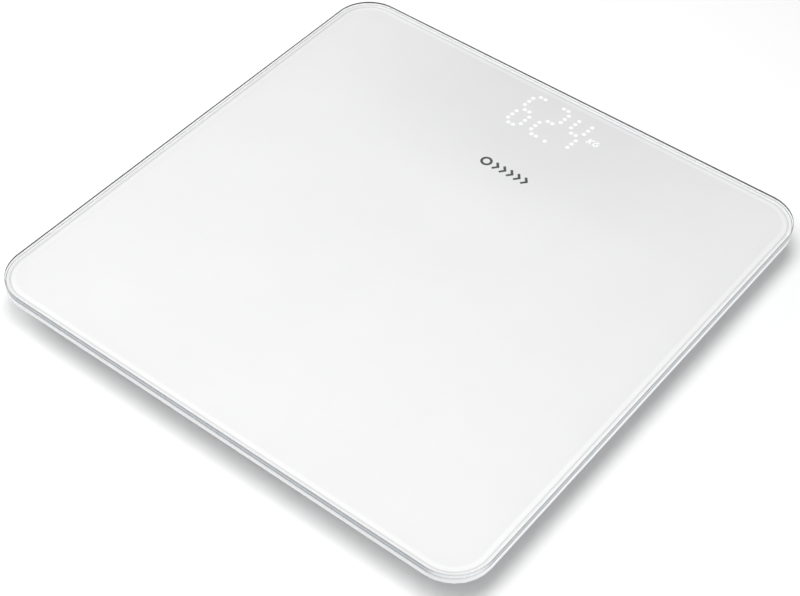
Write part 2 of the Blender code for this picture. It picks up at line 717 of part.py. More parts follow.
def contact(name, x_range, side, bump_x):
    """Spring-steel contact plate on a bay end wall; bump_x is None where it only backs a coil."""
    back = BAY_HALF_Y - GAP
    front = back - CONTACT_THICKNESS
    plate = block(x_range, sorted((side * front, side * back)), CONTACT_Z)
    part = make(name, [plate], "nickel")
    if bump_x is None:
        return
    reach = CELL_LENGTH / 2 + GAP
    cone = turned([
        (0, reach),
        (CONTACT_BUMP[1], reach),
        (CONTACT_BUMP[0], front + CONTACT_THICKNESS / 2),
        (0, front + CONTACT_THICKNESS / 2),
    ], SMALL_SEGMENTS)
    along_y = at(bump_x, 0, CELL_AXIS_Z) @ Matrix.Rotation(-side * math.pi / 2, 4, "X")
    combine(part, "UNION", name + "_bump", [moved(cone, along_y)])


def contacts():
    single = CONTACT_HALF_X
    contact("contact_negative", (-CELL_PITCH - single, -CELL_PITCH + single), -1, None)
    contact("contact_bridge_front", (-single, CELL_PITCH + single), -1, 0.0)
    contact("contact_bridge_rear", (-CELL_PITCH - single, single), 1, -CELL_PITCH)
    contact("contact_positive", (CELL_PITCH - single, CELL_PITCH + single), 1, CELL_PITCH)
    start = BAY_HALF_Y - GAP - CONTACT_THICKNESS - GAP - SPRING_WIRE
    end = CELL_LENGTH / 2 + GAP + SPRING_WIRE
    turns = SPRING_TURNS * SPRING_STEPS
    for number in range(3):
        side = -1 if number % 2 == 0 else 1
        coil = []
        for step in range(turns + 1):
            share = step / turns
            angle = 2 * math.pi * SPRING_TURNS * share
            radius = SPRING_RADII[0] + (SPRING_RADII[1] - SPRING_RADII[0]) * share
            coil.append(Vector((
                (number - 1) * CELL_PITCH + radius * math.cos(angle),
                side * (start + (end - start) * share),
                CELL_AXIS_Z + radius * math.sin(angle),
            )))
        wire("contact_spring_%d" % (number + 1), coil, SPRING_WIRE, "nickel")


def leads():
    back = BAY_HALF_Y
    over_board = BOARD_TOP + GAP + LEAD_RADIUS
    negative = [
        Vector((-CELL_PITCH, -back, LEAD_Z)),
        Vector((-CELL_PITCH, -back - 3 * MM, LEAD_Z)),
        Vector((-13 * MM, -back - 6 * MM, 10.5 * MM)),
        Vector((-20 * MM, -back - 6 * MM, CABLE_FLOOR_Z)),
        Vector((-25 * MM, -back + 2 * MM, CABLE_FLOOR_Z)),
        Vector((-25 * MM, -5 * MM, CABLE_FLOOR_Z)),
        Vector((-24 * MM, 22 * MM, CABLE_FLOOR_Z)),
        Vector((-19 * MM, 39 * MM, CABLE_FLOOR_Z + 1 * MM)),
        Vector((-15 * MM, BOARD_Y[0] - 4 * MM, 13 * MM)),
        Vector((-14 * MM, BOARD_Y[0], over_board)),
        Vector((-14 * MM, BOARD_Y[0] + 4 * MM, over_board)),
    ]
    positive = [
        Vector((CELL_PITCH, back, LEAD_Z)),
        Vector((CELL_PITCH, back + 3 * MM, LEAD_Z)),
        Vector((12 * MM, back + 9 * MM, 11.4 * MM)),
        Vector((13.5 * MM, BOARD_Y[0] - 6 * MM, 13 * MM)),
        Vector((14 * MM, BOARD_Y[0], over_board)),
        Vector((14 * MM, BOARD_Y[0] + 4 * MM, over_board)),
    ]
    wire("lead_negative", smooth_route(negative, CABLE_STEP), LEAD_RADIUS, "black_lead")
    wire("lead_positive", smooth_route(positive, CABLE_STEP), LEAD_RADIUS, "red_lead")


def battery_door():
    """Door plate with a half-round hinged end, two pins and a latch tongue cut free by two slots."""
    origin = Vector((0, HINGE_Y, HINGE_Z))
    top = HOUSING_BOTTOM + DOOR_THICKNESS
    section = [(DOOR_HALF_Y, HOUSING_BOTTOM), (DOOR_HALF_Y, top)]
    steps = 6
    for step in range(steps + 1):
        angle = math.pi / 2 + math.pi * step / steps
        section.append((HINGE_Y + HINGE_RADIUS * math.cos(angle), HINGE_Z + HINGE_RADIUS * math.sin(angle)))
    # The section is drawn in Y and Z and pulled out along X.
    lay = Matrix(((0, 0, 1, 0), (1, 0, 0, 0), (0, 1, 0, 0), (0, 0, 0, 1)))
    plate = moved(prism(section, -DOOR_HALF_X, DOOR_HALF_X), lay)
    door = make("battery_door", [plate], "white_abs", origin)

    pin_reach = DOOR_HALF_X + HINGE_PIN_LENGTH
    pin = prism(round_outline(HINGE_RADIUS * 0.9), -pin_reach, pin_reach)
    pins = [moved(pin, at(0, HINGE_Y, HINGE_Z) @ Matrix.Rotation(math.pi / 2, 4, "Y"))]
    nib = block((-NIB_HALF_X, NIB_HALF_X), NIB_Y, (top - SINK, NIB_TOP))
    combine(door, "UNION", "door_pins_and_nib", pins + [nib])
    slots = []
    for side in (-1, 1):
        slots.append(block(
            sorted((side * LATCH_HALF_X, side * (LATCH_HALF_X + LATCH_SLOT))),
            (DOOR_HALF_Y - LATCH_LENGTH, DOOR_HALF_Y + CUT_CLEARANCE),
            (HOUSING_BOTTOM - CUT_CLEARANCE, NIB_TOP + CUT_CLEARANCE),
        ))
    combine(door, "DIFFERENCE", "latch_slots", slots)


def screw(name, x, y, seat):
    head = seat + GAP
    crown = head + SCREW_HEAD_HEIGHT
    profile = [
        (0, head - SCREW_LENGTH),
        (SCREW_RADIUS * 0.4, head - SCREW_LENGTH),
        (SCREW_RADIUS, head - SCREW_LENGTH + SCREW_RADIUS),
        (SCREW_RADIUS, head),
        (SCREW_HEAD_RADIUS, head),
        (SCREW_HEAD_RADIUS, head + SCREW_HEAD_HEIGHT * 0.4),
        (SCREW_HEAD_RADIUS * 0.7, crown),
        (0, crown),
    ]
    make(name, [moved(turned(profile, SMALL_SEGMENTS), at(x, y))], "nickel")


def main_board():
    middle_y = 0.5 * (BOARD_Y[0] + BOARD_Y[1])
    half_y = 0.5 * (BOARD_Y[1] - BOARD_Y[0])
    outline = [(x, y + middle_y) for x, y in rounded_outline(BOARD_HALF_X, half_y, BOARD_CORNER, steps=3)]
    holes = [round_outline(SCREW_HOLE_RADIUS, centre=place) for place in board_screw_places()]
    make("main_board", [pierced(outline, holes, BOARD_BOTTOM, BOARD_TOP)], "circuit_board")
    for number, (x, y) in enumerate(board_screw_places()):
        screw("board_screw_%d" % (number + 1), x, y, BOARD_TOP)
    chip_low = BOARD_TOP + GAP
    chip = prism(rounded_outline(CHIP_HALF, CHIP_HALF, CHIP_HALF / 8, steps=2), chip_low, chip_low + CHIP_THICKNESS)
    make("controller_chip", [moved(chip, at(*CHIP_CENTRE))], "black_plastic")

    here = at(*BUTTON_CENTRE)
    side = (-SWITCH_HALF, SWITCH_HALF)
    switch = make("tact_switch", [moved(block(side, side, SWITCH_Z), here)], "black_plastic")
    bore = prism(round_outline(PLUNGER_RADIUS + GAP), SWITCH_Z[0] - CUT_CLEARANCE, SWITCH_BORE_TOP)
    combine(switch, "DIFFERENCE", "switch_bore", [moved(bore, here)])
    origin = (*BUTTON_CENTRE, BUTTON_BOTTOM)
    plunger = prism(round_outline(PLUNGER_RADIUS), *PLUNGER_Z)
    make("switch_plunger", [moved(plunger, here)], "grey_abs", origin)
    button = turned([
        (0, BUTTON_BOTTOM + GAP),
        (BUTTON_RADIUS * 0.7, BUTTON_BOTTOM + GAP / 2),
        (BUTTON_RADIUS * 0.9, BUTTON_BOTTOM),
        (BUTTON_RADIUS, BUTTON_BOTTOM + GAP),
        (BUTTON_RADIUS, BUTTON_FLANGE_Z[0]),
        (BUTTON_FLANGE_RADIUS, BUTTON_FLANGE_Z[0]),
        (BUTTON_FLANGE_RADIUS, BUTTON_FLANGE_Z[1]),
        (BUTTON_POST_RADIUS, BUTTON_FLANGE_Z[1]),
        (BUTTON_POST_RADIUS, BUTTON_POST_TOP),
        (0, BUTTON_POST_TOP),
    ], SMALL_SEGMENTS)
    make("unit_button", [moved(button, here)], "grey_abs", origin)


def display():
    half_y = 0.5 * (DISPLAY_Y[1] - DISPLAY_Y[0])
    low_y, high_y = DISPLAY_Y
    ear = DISPLAY_EAR_HALF_Y
    # One counter-clockwise outline: the body with an ear for a screw on each side.
    outline = [(display_x(x), DISPLAY_MIDDLE_Y + y) for x, y in (
        (-DISPLAY_HALF_X, -half_y), (DISPLAY_HALF_X, -half_y),
        (DISPLAY_HALF_X, -ear), (DISPLAY_EAR_X, -ear),
        (DISPLAY_EAR_X, ear), (DISPLAY_HALF_X, ear),
        (DISPLAY_HALF_X, half_y), (-DISPLAY_HALF_X, half_y),
        (-DISPLAY_HALF_X, ear), (-DISPLAY_EAR_X, ear),
        (-DISPLAY_EAR_X, -ear), (-DISPLAY_HALF_X, -ear),
    )]
    screw_holes = [round_outline(SCREW_HOLE_RADIUS, centre=place) for place in display_screw_places()]
    make("lamp_board", [pierced(outline, screw_holes, *LAMP_BOARD_Z)], "circuit_board")
    windows = []
    for digit in range(DIGIT_COUNT):
        middle = FIRST_DIGIT_X + digit * DIGIT_PITCH
        low, high = middle - DIGIT_WINDOW_HALF_X, middle + DIGIT_WINDOW_HALF_X
        windows.append([(low, DIGIT_WINDOW_Y[0]), (high, DIGIT_WINDOW_Y[0]),
                        (high, DIGIT_WINDOW_Y[1]), (low, DIGIT_WINDOW_Y[1])])
    windows.append([(UNIT_WINDOW_X[0], UNIT_WINDOW_Y[0]), (UNIT_WINDOW_X[1], UNIT_WINDOW_Y[0]),
                    (UNIT_WINDOW_X[1], UNIT_WINDOW_Y[1]), (UNIT_WINDOW_X[0], UNIT_WINDOW_Y[1])])
    light_frame = make("display_frame", [pierced(outline, screw_holes + windows, *FRAME_Z)], "white_abs")
    ear_steps = []
    for side in (-1, 1):
        across = sorted((display_x(side * DISPLAY_HALF_X), display_x(side * (DISPLAY_EAR_X + CUT_CLEARANCE))))
        along = (DISPLAY_MIDDLE_Y - ear - CUT_CLEARANCE, DISPLAY_MIDDLE_Y + ear + CUT_CLEARANCE)
        ear_steps.append(block(across, along, (EAR_TOP, FRAME_Z[1] + CUT_CLEARANCE)))
    combine(light_frame, "DIFFERENCE", "ear_steps", ear_steps)
    sheet = block(
        (display_x(GAP - DISPLAY_HALF_X), display_x(DISPLAY_HALF_X - GAP)),
        (low_y + GAP, high_y - GAP),
        DIFFUSER_Z,
    )
    make("display_diffuser", [sheet], "diffuser")
    for number, (x, y) in enumerate(display_screw_places()):
        screw("display_screw_%d" % (number + 1), x, y, EAR_TOP)

    start = Vector((0, BOARD_Y[1] + GAP, 0.5 * (BOARD_BOTTOM + BOARD_TOP)))
    end = Vector((0, DISPLAY_Y[0] - GAP, 0.5 * (LAMP_BOARD_Z[0] + LAMP_BOARD_Z[1])))
    steps = 8
    lower, upper = [], []
    for step in range(steps + 1):
        share = step / steps
        middle = start.lerp(end, share)
        height = middle.z + RIBBON_ARCH * math.sin(math.pi * share) ** 2
        lower.append((middle.y, height - RIBBON_THICKNESS / 2))
        upper.append((middle.y, height + RIBBON_THICKNESS / 2))
    lay = Matrix(((0, 0, 1, 0), (1, 0, 0, 0), (0, 1, 0, 0), (0, 0, 0, 1)))
    ribbon = moved(prism(lower + upper[::-1], -RIBBON_HALF_X, RIBBON_HALF_X), lay)
    make("display_ribbon", [ribbon], "grey_cable")


clear_scene()
platform()
base_tray()
for corner_name in CORNERS:
    load_cell(corner_name)
    foot(corner_name)
    sensor_cable(corner_name)
batteries()
contacts()
leads()
battery_door()
main_board()
display()
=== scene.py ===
"""Looks of a square glass body-weight scale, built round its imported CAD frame.

Units and axes: metres, +Z up, origin on the floor under the middle of the platform,
+Y towards the display edge.
"""

import json
import math

import bmesh
import bpy
from mathutils import Matrix, Vector


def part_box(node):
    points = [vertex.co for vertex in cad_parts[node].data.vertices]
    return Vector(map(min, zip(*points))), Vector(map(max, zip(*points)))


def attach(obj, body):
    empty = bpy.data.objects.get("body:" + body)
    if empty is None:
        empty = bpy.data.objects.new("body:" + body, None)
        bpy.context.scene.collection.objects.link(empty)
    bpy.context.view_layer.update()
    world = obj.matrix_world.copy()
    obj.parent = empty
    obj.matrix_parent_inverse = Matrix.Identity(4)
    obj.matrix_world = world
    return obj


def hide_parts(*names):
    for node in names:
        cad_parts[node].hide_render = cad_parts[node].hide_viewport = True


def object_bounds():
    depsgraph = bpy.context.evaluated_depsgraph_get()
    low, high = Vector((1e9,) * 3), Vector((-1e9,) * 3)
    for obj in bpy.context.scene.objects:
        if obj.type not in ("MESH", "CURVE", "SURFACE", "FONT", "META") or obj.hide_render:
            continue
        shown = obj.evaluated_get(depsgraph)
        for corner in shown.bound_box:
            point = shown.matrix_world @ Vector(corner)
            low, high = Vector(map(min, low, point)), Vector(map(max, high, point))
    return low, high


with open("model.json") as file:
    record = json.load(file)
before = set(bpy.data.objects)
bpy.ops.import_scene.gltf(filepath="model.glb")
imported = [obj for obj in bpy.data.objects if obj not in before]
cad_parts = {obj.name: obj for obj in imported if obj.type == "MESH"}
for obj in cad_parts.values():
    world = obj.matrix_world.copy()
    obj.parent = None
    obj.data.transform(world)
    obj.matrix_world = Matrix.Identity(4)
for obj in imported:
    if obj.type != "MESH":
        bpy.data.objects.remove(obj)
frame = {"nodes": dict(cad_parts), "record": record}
CAD_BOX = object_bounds()

MM = 0.001
CORNERS = ("front_left", "front_right", "rear_left", "rear_right")

# Platform: outline shared by the glass, the print under it and the bead round it.
GLASS_BOTTOM, GLASS_TOP = (corner.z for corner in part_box("glass_platform"))
CORNER_RADIUS = 21.5 * MM
CORNER_STEPS = 24
ARRIS = 0.32 * MM
ARRIS_STEPS = 4
PRINT_SINK = 0.02 * MM
MARK_LIFT = 0.005 * MM
BEAD_INSET = (0.34 * MM, 2.45 * MM)
BEAD_GAP = 0.01 * MM
BEAD_EDGE = 0.08 * MM
# Insets between which the bead's painted shade, a dark band along its outer edge, gives way to its white.
BEAD_SHADE_INSET = (0.7 * MM, 0.85 * MM)

# Ground edge of the glass: heights above its bottom, half heights of its pale stripe, and how far
# along both X and -Y its painted light corner starts. Each pair is where one tone starts to give way to
# the next and where it has.
EDGE_WHITE_BELOW = (0.3 * MM, 0.5 * MM)
EDGE_STRIPE_HALF = (0.5 * MM, 1.0 * MM)
EDGE_INSIDE_WHITE_BELOW = (1.6 * MM, 1.9 * MM)
PAINTED_LIGHT_CORNER_FROM = (127 * MM, 137 * MM)

# Print: painted shade and light by distance from the lamps, then painted shade and light bands by distance
# in from the platform's outline.
LAMP_MIDDLE = (-3 * MM, 128 * MM, 17.9 * MM)
LAMP_STRETCH = (0.6, 1.0, 1.0)
DISPLAY_SHADE_REACH = (15 * MM, 95 * MM)
FAR_LIGHT_REACH = (90 * MM, 270 * MM)
PAINTED_SHADE_LINE_INSET = (2.9 * MM, 3.5 * MM)
PAINTED_LIGHT_BAND_INSET = (4.8 * MM, 6.4 * MM)

# Tray: heights between which its grained hull, greyer with painted shade, gives way to the polished rim.
TRAY_GRAIN_TOP = (14.4 * MM, 14.6 * MM)

# Lit reading: seven-segment digits drawn with round dots, leaning to the right. A dot's rings are
# shares of its radius, each with its share of the light.
READING = "624"
DIGIT_MIDDLE_Y = 126.1 * MM
DIGIT_X = (-13.7 * MM, 1.85 * MM, 17.4 * MM)
DIGIT_LEAN = 0.0747
DOT_RADIUS = 1.42 * MM
DOT_SEGMENTS = 20
DOT_RINGS = ((0.0, 1.0), (0.4, 1.0), (0.75, 0.75), (1.0, 0.0))
DOT_LIGHT = 0.29
COLUMN_X = 4.3 * MM
COLUMN_Y = (3.6 * MM, 7.2 * MM, 10.8 * MM)
ROW_X = 1.55 * MM
ROW_Y = 14.05 * MM
SEGMENTS = {"6": "acdefg", "2": "abdeg", "4": "bcfg"}
POINT_OFFSET = (7.6 * MM, -14.4 * MM)
UNIT_CENTRE = (29.9 * MM, 126.9 * MM)
UNIT_HEIGHT = 4.3 * MM
UNIT_STROKE = 0.75 * MM
UNIT_LEAN = 0.22
UNIT_LIGHT = 0.32
LETTER_X = (-1.8 * MM, 1.9 * MM)
LETTER_HALF_WIDTH = 1.15 * MM
K_WAIST = 0.35
G_ARC = (40, 300)
G_ARC_STEPS = 12
G_BAR_Y = (-1.1 * MM, -0.1 * MM)
G_BAR_X = 0.2 * MM

# Printed mark: a ring and a row of chevrons.
MARK_CENTRE = (6 * MM, 79 * MM)
MARK_STROKE = 1.45 * MM
MARK_HALF_WIDTH = 15.5 * MM
MARK_RING_RADIUS = 2.7 * MM
MARK_RING_SIDES = 16
CHEVRON_COUNT = 5
CHEVRON_PITCH = 4.7 * MM
CHEVRON_REACH = 2.2 * MM

# Feet: pad, the cup that holds it, and the ring round the cup.
PAD_GROOVES = 4
PAD_GROOVE_DEPTH = 0.35 * MM
PAD_MIDDLE_SHARE = 0.12
PAD_GROOVED_SHARE = 0.8
GROOVE_SHARES = (0.25, 0.45, 0.7)
PAD_EDGE = 0.25 * MM
CUP_RADIUS = 16 * MM
CUP_CHAMFER = 0.8 * MM
CUP_RECESS = (14 * MM, 3.5 * MM)
CUP_FLANGE_Z = (8.5 * MM, 9.9 * MM)
CUP_POST_RADIUS = 4 * MM
FOOT_RING_INNER = 16.3 * MM
FOOT_EDGE = 0.3 * MM

# Battery door's grip.
RIDGE_COUNT = 4
RIDGE_START_Y = 20.5 * MM
RIDGE_PITCH = 1.5 * MM
RIDGE_WIDTH = 0.8 * MM
RIDGE_HEIGHT = 0.3 * MM
RIDGE_SINK = 0.2 * MM
RIDGE_HALF_LENGTH = 4 * MM
RIDGE_EDGE = 0.25 * MM

# Dry cell's outline, as (share of a radius, distance): the flat end up from that end, the sleeve's
# shoulder and the nub down from the other. The sleeve starts at one share of the cell's radius.
CELL_FLAT_END = (
    (0.0, 0.15 * MM),
    (0.66, 0.15 * MM),
    (0.70, 0.0),
    (0.84, 0.0),
    (0.88, 0.2 * MM),
    (0.90, 0.1 * MM),
    (0.96, 0.15 * MM),
    (1.0, 0.6 * MM),
)
CELL_SHOULDER = ((1.0, 1.5 * MM), (0.96, 1.05 * MM), (0.88, 0.95 * MM), (0.86, 1.1 * MM))
CELL_NUB = ((1.15, 1.0 * MM), (1.0, 0.8 * MM), (1.0, 0.2 * MM), (0.85, 0.0), (0.0, 0.0))
SLEEVE_SHARE = 0.88
NUB_RADIUS = 1.9 * MM
CELL_SEGMENTS = 64
SLEEVE_SPLIT = (9.8 * MM, 10.0 * MM)

# Softened edges of the refined CAD pieces.
BEVEL = 0.12 * MM
BEVEL_SEGMENTS = 2
CONTACT_BEVEL = 0.06 * MM
LOAD_CELL_BEVEL = 0.08 * MM

# Turned shapes, rounded corners of profiles (at most a share of their sides) and mitred strokes.
ROUND_SEGMENTS = 96
ROUNDING_STEPS = 4
ROUNDING_SHARE = 0.45
MITRE_LIMIT = 0.4

SMOOTH_ANGLE = math.radians(35)
TRAY_SMOOTH_ANGLE = math.radians(20)
ROUND_SMOOTH_ANGLE = math.radians(60)
FLAT_ANGLE = math.radians(1)
WELD_DISTANCE = 0.001 * MM

# Camera: where it looks, how far off it stands, and its angles.
CAMERA_TARGET = Vector((20.93 * MM, -31.07 * MM, 22.17 * MM))
CAMERA_DISTANCE = 893.26 * MM
CAMERA_AZIMUTH = math.radians(37.9145)
CAMERA_ELEVATION = math.radians(46.8471)
CAMERA_ROLL = math.radians(0.6342)
CAMERA_LENS = 80.7476
CAMERA_CLIP = 0.01

# Floor, just below the feet.
FLOOR_HALF = 6.0
FLOOR_SQUARES = 8
FLOOR_Z = -0.05 * MM

# Light: an even surround, softboxes (place, watts), and two that light only the glass and the tray.
SURROUND = 0.46
SOFTBOX_SIZE = 0.45
SOFTBOXES = {
    "overhead": ((0.03, -0.03, 1.0), 4.8),
    "front": ((0.05, -0.45, 0.9), 2.0),
    "left": ((-0.85, -0.1, 0.55), 1.9),
}
EDGE_SOFTBOXES = {
    "edge_right": ((0.9, 0.1, 0.28), 2.2),
    "edge_front": ((0.0, -0.9, 0.28), 0.4),
}

# Colours that more than one look uses, and the values that most of a noise lies between.
CLEAR = (0.988, 0.989, 0.99)
CLEAR_SHADOW = (0.988, 0.988, 0.99)
EDGE_WHITE = (0.86, 0.87, 0.88)
RIM_WHITE = (0.88, 0.89, 0.90)
ENAMEL = (0.80, 0.80, 0.80)
GLASS_IOR = 1.5
NOISE_SPAN = (0.3, 0.7)
NOISE_ROUGHNESS = 0.55
EVEN = (1.0, 1.0, 1.0)

# Places of the colour sockets on a Mix node.
MIX_FIRST, MIX_SECOND, MIX_RESULT = 6, 7, 2


# ---------------------------------------------------------------- materials


class Look:
    """A Principled material whose patterns are laid out in the piece's own coordinates."""

    def __init__(self, name, colour, roughness, **sockets):
        self.material = bpy.data.materials.new(name)
        self.material.use_nodes = True
        self.tree = self.material.node_tree
        self.shader = self.tree.nodes["Principled BSDF"]
        self.output = self.tree.nodes["Material Output"]
        self.colour = (*colour, 1.0)
        self.roughness = roughness
        self.shader.inputs["Base Color"].default_value = self.colour
        self.shader.inputs["Roughness"].default_value = roughness
        for socket, value in sockets.items():
            self.shader.inputs[socket.replace("_", " ")].default_value = value

    def add(self, kind, **settings):
        node = self.tree.nodes.new("ShaderNode" + kind)
        for setting, value in settings.items():
            setattr(node, setting, value)
        return node

    def link(self, source, target):
        self.tree.links.new(source, target)

    def place(self, stretch=EVEN):
        """The piece's own coordinates, stretched along each axis."""
        coordinates = self.add("TexCoord")
        mapping = self.add("Mapping")
        mapping.inputs["Scale"].default_value = stretch
        self.link(coordinates.outputs["Object"], mapping.inputs["Vector"])
        return mapping.outputs["Vector"]

    def noise(self, scale, detail=3.0, stretch=EVEN):
        texture = self.add("TexNoise")
        texture.inputs["Scale"].default_value = scale
        texture.inputs["Detail"].default_value = detail
        texture.inputs["Roughness"].default_value = NOISE_ROUGHNESS
        self.link(self.place(stretch), texture.inputs["Vector"])
        return texture.outputs["Fac"]

    def ramp(self, value, low, high, start=0.0, end=1.0):
        """A value run smoothly from start to end while the input goes from low to high."""
        spread = self.add("MapRange", interpolation_type="SMOOTHSTEP")
        spread.inputs["From Min"].default_value = low
        spread.inputs["From Max"].default_value = high
        spread.inputs["To Min"].default_value = start
        spread.inputs["To Max"].default_value = end
        self.link(value, spread.inputs["Value"])
        return spread.outputs["Result"]

    def math(self, operation, first, second=0.0):
        node = self.add("Math", operation=operation)
        for socket, value in zip(node.inputs, (first, second)):
            if isinstance(value, (int, float)):
                socket.default_value = value
            else:
                self.link(value, socket)
        return node.outputs["Value"]

    def axis(self, name):
        """One coordinate of the piece's own position, in metres."""
        split = self.add("SeparateXYZ")
        self.link(self.place(), split.inputs["Vector"])
        return split.outputs[name]

    def inset(self):
        """Distance in from the platform's outline, at most its corner radius."""
        point = self.place()
        for operation, value in (
            ("MULTIPLY", (1.0, 1.0, 0.0)),
            ("ABSOLUTE", None),
            ("SUBTRACT", (CAD_BOX[1].x - CORNER_RADIUS, CAD_BOX[1].y - CORNER_RADIUS, 0.0)),
            ("MAXIMUM", (0.0, 0.0, 0.0)),
        ):
            step = self.add("VectorMath", operation=operation)
            self.link(point, step.inputs[0])
            if value:
                step.inputs[1].default_value = value
            point = step.outputs["Vector"]
        length = self.add("VectorMath", operation="LENGTH")
        self.link(point, length.inputs[0])
        return self.math("SUBTRACT", CORNER_RADIUS, length.outputs["Value"])

    def mix(self, factor, first, second):
        """Blend of two colours, each a tuple or an output."""
        node = self.add("Mix", data_type="RGBA")
        self.link(factor, node.inputs["Factor"])
        for place, value in ((MIX_FIRST, first), (MIX_SECOND, second)):
            socket = node.inputs[place]
            if isinstance(value, tuple):
                socket.default_value = (*value[:3], 1.0)
            else:
                self.link(value, socket)
        return node.outputs[MIX_RESULT]

    def paint(self, colour):
        self.link(colour, self.shader.inputs["Base Color"])

    def mottle(self, pattern, change):
        """Lets the base colour drift by a share of itself."""
        dark = tuple(channel * (1 - change) for channel in self.colour[:3])
        self.paint(self.mix(pattern, dark, self.colour))

    def worn(self, pattern, spread):
        """Lets the roughness drift either side of its value."""
        drift = self.ramp(pattern, *NOISE_SPAN, self.roughness - spread, self.roughness + spread)
        self.link(drift, self.shader.inputs["Roughness"])

    def relief(self, pattern, depth, strength):
        """Gives the surface a fine relief of the given depth in metres."""
        bump = self.add("Bump")
        bump.inputs["Strength"].default_value = strength
        bump.inputs["Distance"].default_value = depth
        self.link(pattern, bump.inputs["Height"])
        self.link(bump.outputs["Normal"], self.shader.inputs["Normal"])

    def show(self, shader):
        """Lets a shader other than the Principled one be what is seen."""
        self.link(shader, self.output.inputs["Surface"])

    def blend(self, factor, first, second):
        """Mix of two shaders."""
        node = self.add("MixShader")
        self.link(factor, node.inputs["Fac"])
        self.link(first, node.inputs[1])
        self.link(second, node.inputs[2])
        return node.outputs["Shader"]


def lets_lamps_through(look, shader):
    """Rays from lamps and from matt surfaces pass straight through the glass."""
    path = look.add("LightPath")
    passing = look.math("MAXIMUM", path.outputs["Is Shadow Ray"], path.outputs["Is Diffuse Ray"])
    clear = look.add("BsdfTransparent")
    clear.inputs["Color"].default_value = (*CLEAR_SHADOW, 1.0)
    look.show(look.blend(passing, shader, clear.outputs["BSDF"]))


def clear_glass():
    look = Look("clear_glass_look", CLEAR, 0.0, Transmission_Weight=1.0, IOR=GLASS_IOR)
    look.relief(look.noise(14.0, detail=1.0), depth=0.02 * MM, strength=0.15)
    lets_lamps_through(look, look.shader.outputs["BSDF"])
    return look.material


def polished_arris():
    """Rounded edge of the glass: clear seen face on, and painted shade, a dark matt colour, where it turns
    away.
    """
    look = Look("polished_arris_look", CLEAR, 0.02, Transmission_Weight=1.0, IOR=GLASS_IOR)
    turning = look.add("LayerWeight")
    # Painted shade: a dark matt colour where the arris turns from view, standing in for the light the
    # glass bends away there.
    dark = look.add("BsdfDiffuse")
    dark.inputs["Color"].default_value = (0.07, 0.078, 0.085, 1.0)
    turned_away = look.ramp(turning.outputs["Facing"], low=0.3, high=0.45)
    seen = look.blend(turned_away, look.shader.outputs["BSDF"], dark.outputs["BSDF"])
    look.relief(look.noise(500.0), depth=0.005 * MM, strength=0.2)
    lets_lamps_through(look, seen)
    return look.material


def ground_edge():
    """Ground glass edge: a pale stripe between two dark lines, and painted light that makes it paler round
    the front right corner.

    Seen from inside, through the top, it is white below and dark above; the dark is painted shade that
    draws the dark line along the far edges of the top.
    """
    look = Look("ground_edge_look", (0.42, 0.45, 0.475), 0.22, IOR=GLASS_IOR)
    across = look.math("MINIMUM", look.axis("X"), look.math("MULTIPLY", look.axis("Y"), -1.0))
    # Painted light: the edge turns paler round its front right corner.
    corner = look.ramp(across, *PAINTED_LIGHT_CORNER_FROM)
    height = look.math("SUBTRACT", look.axis("Z"), GLASS_BOTTOM)
    middle = (GLASS_TOP - GLASS_BOTTOM) / 2
    off_middle = look.math("ABSOLUTE", look.math("SUBTRACT", height, middle))
    stripe = look.ramp(off_middle, *EDGE_STRIPE_HALF, 1.0, 0.0)
    grain = look.noise(900.0, stretch=(1.0, 1.0, 0.2))
    side = look.mix(stripe, (0.235, 0.265, 0.29), (0.49, 0.52, 0.545))
    pale = look.mix(stripe, (0.66, 0.68, 0.70), EDGE_WHITE)
    body = look.mix(look.ramp(height, *EDGE_WHITE_BELOW), EDGE_WHITE, look.mix(corner, side, pale))
    look.paint(look.mix(look.ramp(grain, *NOISE_SPAN, 0.0, 0.1), body, (0.9, 0.92, 0.94)))
    look.worn(grain, spread=0.06)
    # Painted shade: seen from inside, the edge is dark above its white foot, which draws the dark line
    # along the far edges.
    upper = look.ramp(height, *EDGE_INSIDE_WHITE_BELOW)
    within = look.add("BsdfDiffuse")
    look.link(look.mix(upper, (0.97, 0.975, 0.98), (0.04, 0.044, 0.048)), within.inputs["Color"])
    from_inside = look.add("NewGeometry").outputs["Backfacing"]
    look.show(look.blend(from_inside, look.shader.outputs["BSDF"], within.outputs["BSDF"]))
    return look.material


